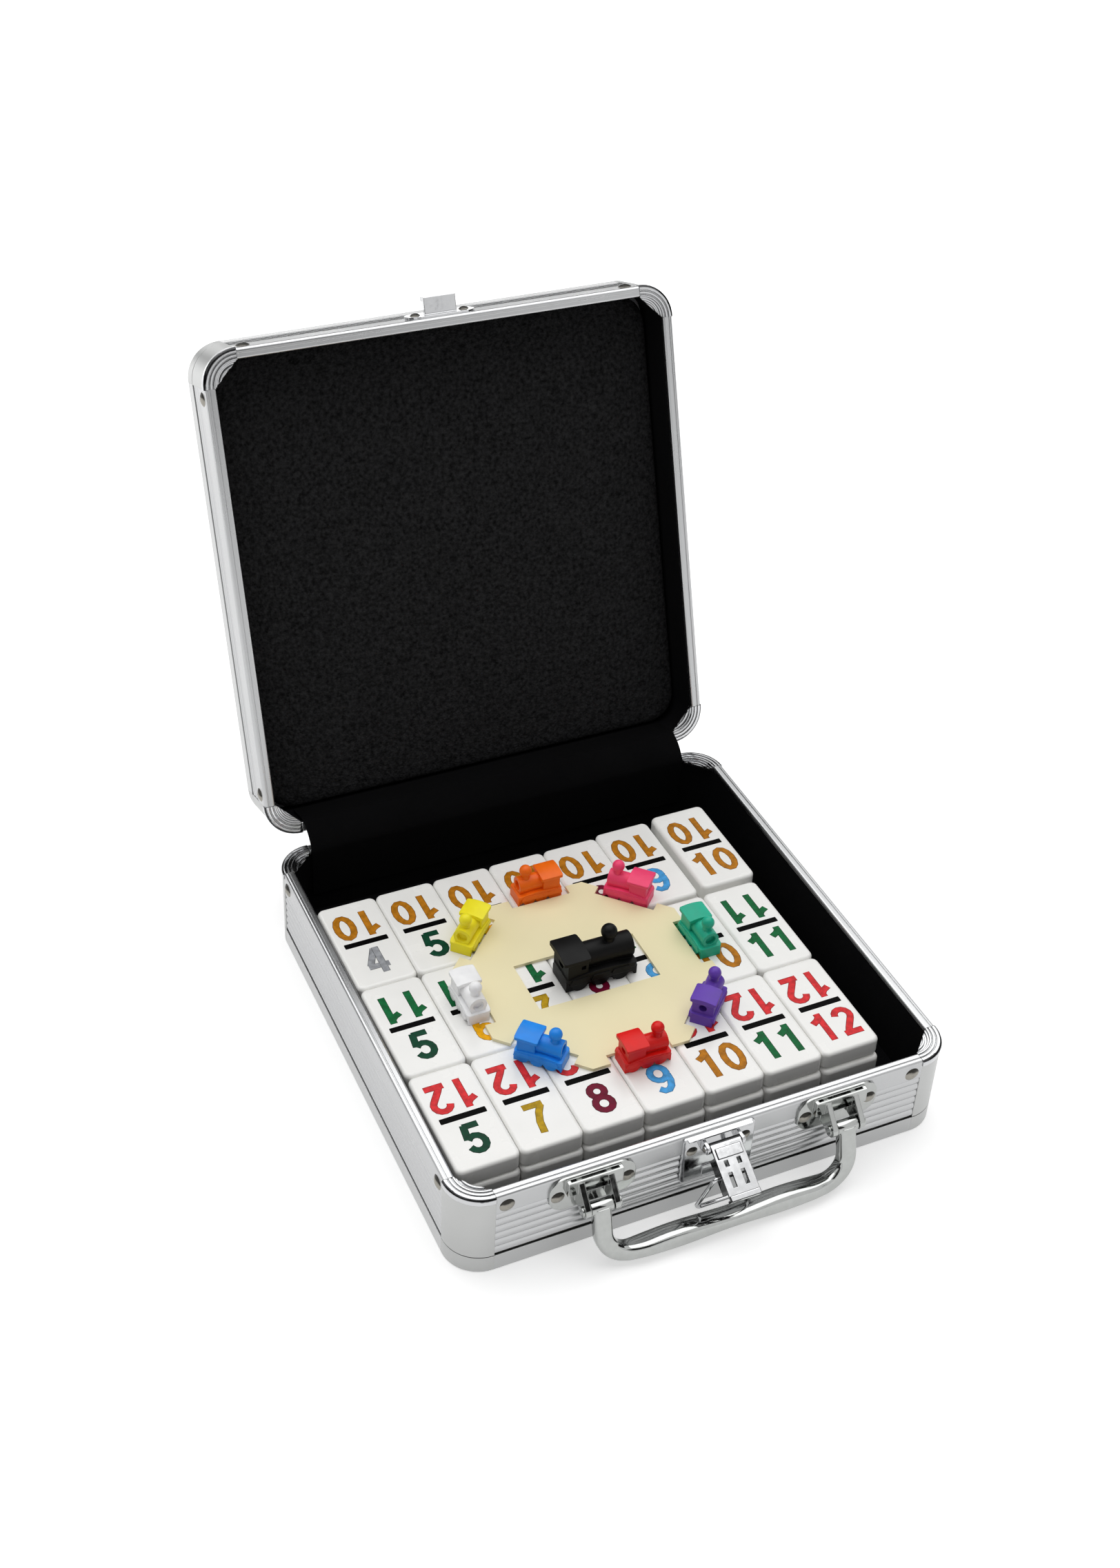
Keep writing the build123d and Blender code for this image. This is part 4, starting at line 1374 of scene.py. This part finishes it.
@dataclass
class FigureStencil:
    """The ten figures as strokes of one width, in millimetres, from the lower left of their box."""

    width: float = 8.5
    height: float = 15.0
    widening: float = 1.07
    stroke: float = 2.9
    relief: float = 0.05
    nib_rim: float = 0.3
    nib_shoulder: float = 0.5
    lift: float = 0.012
    steps: int = 11
    steps_sweep: float = 300.0

    def arc(self, centre: Pair, reach: Pair, start: float, end: float) -> list[Pair]:
        """Points along part of an ellipse.

        Args:
            centre: Its centre.
            reach: Its half width and half height.
            start: First angle in degrees.
            end: Last angle in degrees.

        Returns:
            The points.
        """
        count = max(3, round(self.steps * abs(end - start) / self.steps_sweep))
        points = []
        for index in range(count + 1):
            angle = math.radians(start + (end - start) * index / count)
            across, up = reach[0] * math.cos(angle), reach[1] * math.sin(angle)
            points.append((centre[0] + across, centre[1] + up))
        return points

    def strokes(self, figure: int) -> list[list[Pair]]:
        """The strokes of one figure.

        Args:
            figure: From 0 to 9.

        Returns:
            Lists of points; a list that ends where it starts is a closed stroke.
        """
        if figure == 9:
            six = self.strokes(6)
            return [[(self.width - x, self.height - y) for x, y in line] for line in six]
        drawn = {
            0: [self.arc((4.25, 7.5), (3.05, 6.3), 90, 450)],
            1: [[(5.2, 0.0), (5.2, 15.0)], [(5.4, 13.3), (3.9, 11.6), (1.5, 10.3)]],
            2: [
                [*self.arc((4.2, 10.5), (2.95, 3.25), 175, -40), (3.3, 3.6), (2.2, 1.6)],
                [(0.5, 1.25), (7.7, 1.25)],
            ],
            3: [
                self.arc((4.0, 10.75), (2.75, 3.0), 165, -90),
                self.arc((4.0, 4.6), (3.05, 3.35), 90, -165),
            ],
            4: [
                [(5.3, 14.3), (1.2, 4.9)],
                [(0.3, 4.3), (8.4, 4.3)],
                [(5.9, 0.0), (5.9, 15.0)],
            ],
            5: [
                [(1.9, 13.75), (7.5, 13.75)],
                [(2.3, 14.4), (1.5, 7.2)],
                self.arc((4.1, 4.95), (3.1, 3.7), 145, -160),
            ],
            6: [
                self.arc((4.3, 4.75), (3.0, 3.5), 90, 450),
                self.arc((4.7, 7.3), (3.4, 6.45), 48, 190),
            ],
            7: [
                [(0.5, 13.75), (8.0, 13.75)],
                [(7.1, 13.2), (5.2, 9.7), (3.9, 5.5), (3.4, 0.0)],
            ],
            8: [
                self.arc((4.25, 10.95), (2.65, 2.85), 90, 450),
                self.arc((4.25, 4.55), (3.05, 3.35), 90, 450),
            ],
        }
        return drawn[figure]

    def nib(self) -> Thing:
        """Draw the flat section that every stroke is drawn with.

        Returns:
            The section.
        """
        outline = bpy.data.curves.new("nib", "CURVE")
        outline.dimensions = "2D"
        spline = outline.splines.new("POLY")
        half = self.stroke / 2 * MM
        rim = self.nib_rim * MM
        high = self.relief * MM
        low = high * self.nib_shoulder
        right = [(half, 0), (half, low), (half - rim, high)]
        corners = [(-half, 0), *right, (rim - half, high), (-half, low)]
        spline.points.add(len(corners) - 1)
        for point, (x, y) in zip(spline.points, corners):
            point.co = (x, y, 0, 1)
        spline.use_cyclic_u = True
        return linked("nib", outline)

    def cut(self) -> dict[int, bpy.types.Mesh]:
        """Draw all ten figures as meshes, each centred on its box.

        Returns:
            The mesh of each figure.
        """
        nib = self.nib()
        meshes = {}
        for figure in range(10):
            drawing = bpy.data.curves.new(f"figure_{figure}", "CURVE")
            drawing.dimensions = "3D"
            drawing.twist_mode = "Z_UP"
            drawing.bevel_mode = "OBJECT"
            drawing.bevel_object = nib
            drawing.use_fill_caps = True
            for order, line in enumerate(self.strokes(figure)):
                closed = math.dist(line[0], line[-1]) < TINY
                points = line[:-1] if closed else line
                spline = drawing.splines.new("POLY")
                spline.points.add(len(points) - 1)
                for point, (x, y) in zip(spline.points, points):
                    across, up = (x - self.width / 2) * self.widening, y - self.height / 2
                    point.co = (*(Vector((across, up, order * self.lift)) * MM), 1)
                spline.use_cyclic_u = closed
            select_only(linked(f"figure_{figure}", drawing))
            bpy.ops.object.convert(target="MESH")
            meshes[figure] = bpy.context.object.data.copy()
            bpy.data.objects.remove(bpy.context.object, do_unlink=True)
        bpy.data.objects.remove(nib, do_unlink=True)
        return meshes


@dataclass
class TileStack:
    """The four layers of tiles: their resin, painted bars and numerals, in millimetres."""

    layers: int = 4
    pitch: Pair = (25.45, 50.5)
    centre: Pair = (-9.1, -11.6)
    turns: tuple[float, ...] = (0.2, 0.45, 0.3, 0.5)
    shifts: tuple[Pair, ...] = ((0.4, -0.9), (0.1, -0.3), (0.3, -1.4), (0.0, 0.0))
    corner_shift: Pair = (2.6, 3.0)
    neighbour_shift: Pair = (0.0, 1.5)
    columns: int = 7
    rows: int = 3
    first_top: float = 13.05
    layer_pitch: float = 8.25
    bar: Triple = (18.42, 2.9, 0.42)
    bar_edge: float = 0.1
    groove_depth: float = 0.4
    figure_pitch: float = 10.5
    upper_middle: float = 10.6
    lower_middle: float = -11.5
    highest: int = 12
    seed: int = 12
    stencil: FigureStencil = field(default_factory=FigureStencil)

    def places(self, level: int) -> list[Matrix]:
        """The middle of each tile's face, row by row from the front.

        Args:
            level: The layer, 0 at the bottom.

        Returns:
            One matrix for each tile.
        """
        shift = self.shifts[level]
        height = self.first_top + level * self.layer_pitch
        middle = (self.centre[0] + shift[0], self.centre[1] + shift[1], height)
        layer = Matrix.Translation(Vector(middle) * MM)
        layer = layer @ Matrix.Rotation(math.radians(self.turns[level]), 4, "Z")
        nudges = {self.columns - 1: self.corner_shift, self.columns - 2: self.neighbour_shift}
        found = []
        for row in range(self.rows):
            for column in range(self.columns):
                x = (column - (self.columns - 1) / 2) * self.pitch[0]
                y = (row - (self.rows - 1) / 2) * self.pitch[1]
                if level == self.layers - 1 and row == self.rows - 1 and column in nudges:
                    x, y = x + nudges[column][0], y + nudges[column][1]
                found.append(layer @ Matrix.Translation(Vector((x, y, 0)) * MM))
        return found

    def numbers(self) -> list[list[tuple[int, int]]]:
        """The upper and lower number of every tile.

        Returns:
            The pairs of each layer, row by row from the front.
        """
        top = [(12, low) for low in (5, 7, 8, 9, 10, 11, 12)]
        top += [(11, low) for low in (5, 6, 7, 8, 9, 10, 11)]
        top += [(10, low) for low in (4, 5, 6, 7, 8, 9, 10)]
        pairs = [(high, low) for high in range(self.highest + 1) for low in range(high + 1)]
        rest = [pair for pair in pairs if pair not in top]
        random.Random(self.seed).shuffle(rest)
        count = self.rows * self.columns
        below = range(self.layers - 1)
        return [rest[index * count : (index + 1) * count] for index in below] + [top]

    def bar_mesh(self) -> bpy.types.Mesh:
        """Model one painted bar, rounded along its edges, lying in its groove.

        Returns:
            Its mesh.
        """
        length, width, thickness = self.bar
        middle = (0, 0, (thickness / 2 - self.groove_depth) * MM)
        bar = block("bar", (length * MM, width * MM, thickness * MM), middle)
        soften(bar, self.bar_edge * MM, 1)
        mesh = bar.data.copy()
        bpy.data.objects.remove(bar, do_unlink=True)
        return mesh

    def copy_at(self, mesh: bpy.types.Mesh, place: Matrix) -> Thing:
        """Set a copy of a mesh at a place.

        Args:
            mesh: The mesh.
            place: Where it goes.

        Returns:
            The copy.
        """
        thing = linked("copy", mesh.copy())
        thing.matrix_world = place
        return thing

    def number_copies(
        self, number: int, place: Matrix, middle: float, meshes: dict[int, bpy.types.Mesh]
    ) -> list[Thing]:
        """Set the figures of one number on one tile.

        Args:
            number: The number.
            place: The tile's place.
            middle: How far its middle lies from the bar; turned about when positive.
            meshes: The figures.

        Returns:
            One copy for each figure.
        """
        turn = Matrix.Rotation(math.pi if middle > 0 else 0, 4, "Z")
        copies = []
        figures = [int(figure) for figure in str(number)]
        for index, figure in enumerate(figures):
            x = (index - (len(figures) - 1) / 2) * self.figure_pitch * MM
            half = place @ Matrix.Translation((0, middle * MM, 0)) @ turn
            copies.append(self.copy_at(meshes[figure], half @ Matrix.Translation((x, 0, 0))))
        return copies

    def dress(self) -> None:
        """Dress the tiles and lay their bars and numerals."""
        meshes = self.stencil.cut()
        bar_mesh = self.bar_mesh()
        for level, numbers in enumerate(self.numbers()):
            body = f"tiles_layer_{level + 1}"
            dress_node(body, Finish.TILE)
            places = self.places(level)
            copies = [self.copy_at(bar_mesh, place) for place in places]
            bars = joined(f"layer_{level + 1}_bars", copies)
            dress(bars, Finish.BAR)
            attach(bars, body)
            for paint in NumeralPaint:
                copies = []
                for place, pair in zip(places, numbers):
                    for number, middle in zip(pair, (self.upper_middle, self.lower_middle)):
                        if number == paint.value[0]:
                            copies.extend(self.number_copies(number, place, middle, meshes))
                if not copies:
                    continue
                piece = joined(f"layer_{level + 1}_numeral_{paint.value[0]}", copies)
                dress(piece, paint.finish())
                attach(piece, body)
            log.info("layer %d numbered", level + 1)


@dataclass
class HubPlate:
    """The cream octagonal hub."""

    def dress(self) -> None:
        """Dress the hub."""
        dress_node("hub", Finish.HUB)
        log.info("hub dressed")


@dataclass
class Trains:
    """The nine moulded trains in their colours."""

    large: MouldedPlastic = MouldedPlastic(
        "train_black_plastic", (0.0025, 0.0025, 0.0025), roughness=0.44, gloss=0.14, glow=0.0
    )
    colours: dict[str, Triple] = field(
        default_factory=lambda: {
            "train_orange": (0.98, 0.16, 0.003),
            "train_pink": (1.0, 0.065, 0.19),
            "train_teal": (0.014, 0.45, 0.29),
            "train_purple": (0.13, 0.05, 0.42),
            "train_red": (0.74, 0.006, 0.004),
            "train_blue": (0.012, 0.27, 0.86),
            "train_white": (0.94, 0.94, 0.95),
            "train_yellow": (1.0, 0.84, 0.02),
        }
    )

    def dress(self) -> None:
        """Dress each train."""
        for name, colour in self.colours.items():
            dress_node(name, MouldedPlastic(f"{name}_plastic", colour))
            log.info("%s dressed", name)
        dress_node("train_black", self.large)
        log.info("train_black dressed")


@dataclass
class Studio:
    """The pale floor, soft lamps, dark curtains, plain white surroundings and the camera.

    Each lamp has its name, its place, the side of its face and its power in watts; each curtain
    panel has the bearings of its edges in degrees, and the heights of its foot and top.
    """

    floor_half: float = 4.0
    floor_drop: float = 0.0004
    floor_glow: float = 0.45
    fade: Pair = (0.5, 1.3)
    camera_at: Triple = (-0.29537, -0.54966, 0.61350)
    camera_turn: Triple = (0.9525966, -0.0457061, -0.4259794)
    lens: float = 47.699
    frame_height: float = 36.0
    nearest: float = 0.01
    shift: Pair = (-0.00037, -0.0672)
    surroundings: float = 0.33
    lamps_aim: Triple = (0, 0, 0.06)
    lamps: tuple[tuple[str, Triple, float, float], ...] = (
        ("key_lamp", (0.2, 0.45, 1.9), 2.5, 31.5),
        ("fill_lamp", (-1.2, -1.0, 1.2), 1.8, 1.2),
        ("back_lamp", (-0.9, 1.2, 1.5), 1.7, 6.0),
    )
    curtain_radius: float = 1.8
    curtain_folds: int = 120
    curtain_panels: tuple[tuple[float, float, float, float], ...] = (
        (0, 24, 0.12, 1.15),
        (44, 84, 0.12, 1.15),
        (100, 140, 0.12, 1.15),
        (158, 214, 0.12, 1.15),
        (214, 292, 0.6, 2.6),
        (316, 360, 0.12, 1.15),
    )

    def background_rays(self, tree: bpy.types.NodeTree) -> Socket:
        """Tell the rays that should see a plain white background.

        Args:
            tree: The node tree to add to.

        Returns:
            A value socket, 1 for those rays.
        """
        path = tree.nodes.new("ShaderNodeLightPath")
        seen = path.outputs["Is Camera Ray"]
        for ray in ("Is Glossy Ray", "Is Transmission Ray"):
            either = tree.nodes.new("ShaderNodeMath")
            either.operation = "MAXIMUM"
            tree.links.new(seen, either.inputs[0])
            tree.links.new(path.outputs[ray], either.inputs[1])
            seen = either.outputs["Value"]
        return seen

    def world(self) -> None:
        """Make the surroundings white to the camera and to gloss, and a plain level as light."""
        world = bpy.data.worlds.new("studio_white")
        bpy.context.scene.world = world
        world.use_nodes = True
        tree = world.node_tree
        light = tree.nodes["Background"]
        light.inputs["Color"].default_value = (1, 1, 1, 1)
        light.inputs["Strength"].default_value = self.surroundings
        white = tree.nodes.new("ShaderNodeBackground")
        white.inputs["Color"].default_value = (1, 1, 1, 1)
        white.inputs["Strength"].default_value = 1.0
        mix = tree.nodes.new("ShaderNodeMixShader")
        tree.links.new(self.background_rays(tree), mix.inputs[0])
        tree.links.new(light.outputs["Background"], mix.inputs[1])
        tree.links.new(white.outputs["Background"], mix.inputs[2])
        tree.links.new(mix.outputs["Shader"], tree.nodes["World Output"].inputs["Surface"])

    def floor(self) -> None:
        """Lay a wide pale floor that keeps the shadow and otherwise reads as white."""
        clear_selection()
        bpy.ops.mesh.primitive_plane_add(
            size=2 * self.floor_half, location=(0, 0, -self.floor_drop)
        )
        floor = bpy.context.object
        floor.name = "studio_floor"
        settle(floor)
        sheet = NodeSheet("pale_floor")
        sheet.set(Base_Color=(0.82, 0.82, 0.82, 1), Roughness=0.8, Specular_IOR_Level=0.1)
        glow = sheet.add("Emission")
        middle = sheet.add("VectorMath", operation="LENGTH")
        sheet.join(sheet.place(), middle.inputs[0])
        fade = sheet.mapped(middle.outputs["Value"], self.fade, (self.floor_glow, 1.0))
        sheet.join(fade, glow.inputs["Strength"])
        none = sheet.add("Emission")
        none.inputs["Strength"].default_value = 0.0
        choose = sheet.add("MixShader")
        sheet.join(self.background_rays(sheet.material.node_tree), choose.inputs[0])
        sheet.join(none.outputs["Emission"], choose.inputs[1])
        sheet.join(glow.outputs["Emission"], choose.inputs[2])
        both = sheet.add("AddShader")
        sheet.join(sheet.shader.outputs["BSDF"], both.inputs[0])
        sheet.join(choose.outputs["Shader"], both.inputs[1])
        sheet.join(both.outputs["Shader"], sheet.nodes["Material Output"].inputs["Surface"])
        floor.data.materials.append(sheet.material)

    def lamp(self, name: str, at: Triple, size: float, energy: float) -> None:
        """Hang one soft lamp, aimed at the middle of the case.

        Args:
            name: Its name.
            at: Its place.
            size: The side of its square face.
            energy: Its power in watts.
        """
        light = bpy.data.lights.new(name, "AREA")
        light.size = size
        light.energy = energy
        lamp = linked(name, light)
        lamp.location = at
        aim = Vector(self.lamps_aim) - Vector(at)
        lamp.rotation_euler = aim.to_track_quat("-Z", "Y").to_euler()

    def curtain(self, name: str, start: float, end: float, foot: float, top: float) -> None:
        """Hang one dark curtain panel beside the table, which only reflections see.

        Args:
            name: Its name.
            start: Bearing of its first edge in degrees.
            end: Bearing of its last edge.
            foot: Height of its lower edge.
            top: Height of its upper edge.
        """
        clear_selection()
        bpy.ops.mesh.primitive_cylinder_add(
            vertices=self.curtain_folds,
            radius=self.curtain_radius,
            depth=top - foot,
            end_fill_type="NOTHING",
            location=(0, 0, (foot + top) / 2),
        )
        curtain = bpy.context.object
        curtain.name = name
        settle(curtain)
        bpy.ops.object.mode_set(mode="EDIT")
        bpy.ops.mesh.select_all(action="DESELECT")
        bpy.ops.object.mode_set(mode="OBJECT")
        for face in curtain.data.polygons:
            bearing = math.degrees(math.atan2(face.center.y, face.center.x)) % 360
            face.select = not start <= bearing <= end
        bpy.ops.object.mode_set(mode="EDIT")
        bpy.ops.mesh.select_mode(type="FACE")
        bpy.ops.mesh.delete(type="FACE")
        bpy.ops.object.mode_set(mode="OBJECT")
        dress(curtain, CurtainBlack("curtain_black"))
        curtain.visible_camera = False
        curtain.visible_diffuse = False
        curtain.visible_shadow = False
        curtain.visible_transmission = False

    def curtains(self) -> None:
        """Hang every curtain panel."""
        for index, panel in enumerate(self.curtain_panels):
            self.curtain(f"studio_curtain_{index + 1}", *panel)

    def camera(self) -> None:
        """Set the camera at the photograph's place, angle and framing."""
        lens = bpy.data.cameras.new("photo_camera")
        lens.sensor_fit = "VERTICAL"
        lens.sensor_height = self.frame_height
        lens.lens = self.lens
        lens.shift_x, lens.shift_y = self.shift
        lens.clip_start = self.nearest
        camera = linked("photo_camera", lens)
        camera.location = self.camera_at
        camera.rotation_euler = self.camera_turn
        bpy.context.scene.camera = camera

    def build(self) -> None:
        """Set up the whole studio."""
        self.world()
        self.floor()
        for lamp in self.lamps:
            self.lamp(*lamp)
        self.curtains()
        self.camera()
        bpy.context.scene.view_settings.view_transform = "Standard"
        log.info("studio set")


def main() -> None:
    """Build and dress every piece."""
    logging.basicConfig(level=logging.INFO, format="%(message)s")
    Studio().build()
    CaseTray("base").dress()
    CaseTray("lid").dress()
    FoamPad().dress()
    HingeCloth().dress()
    Handle().dress()
    ToggleLatch().dress()
    TileStack().dress()
    HubPlate().dress()
    Trains().dress()


if __name__ == "__main__":
    main()
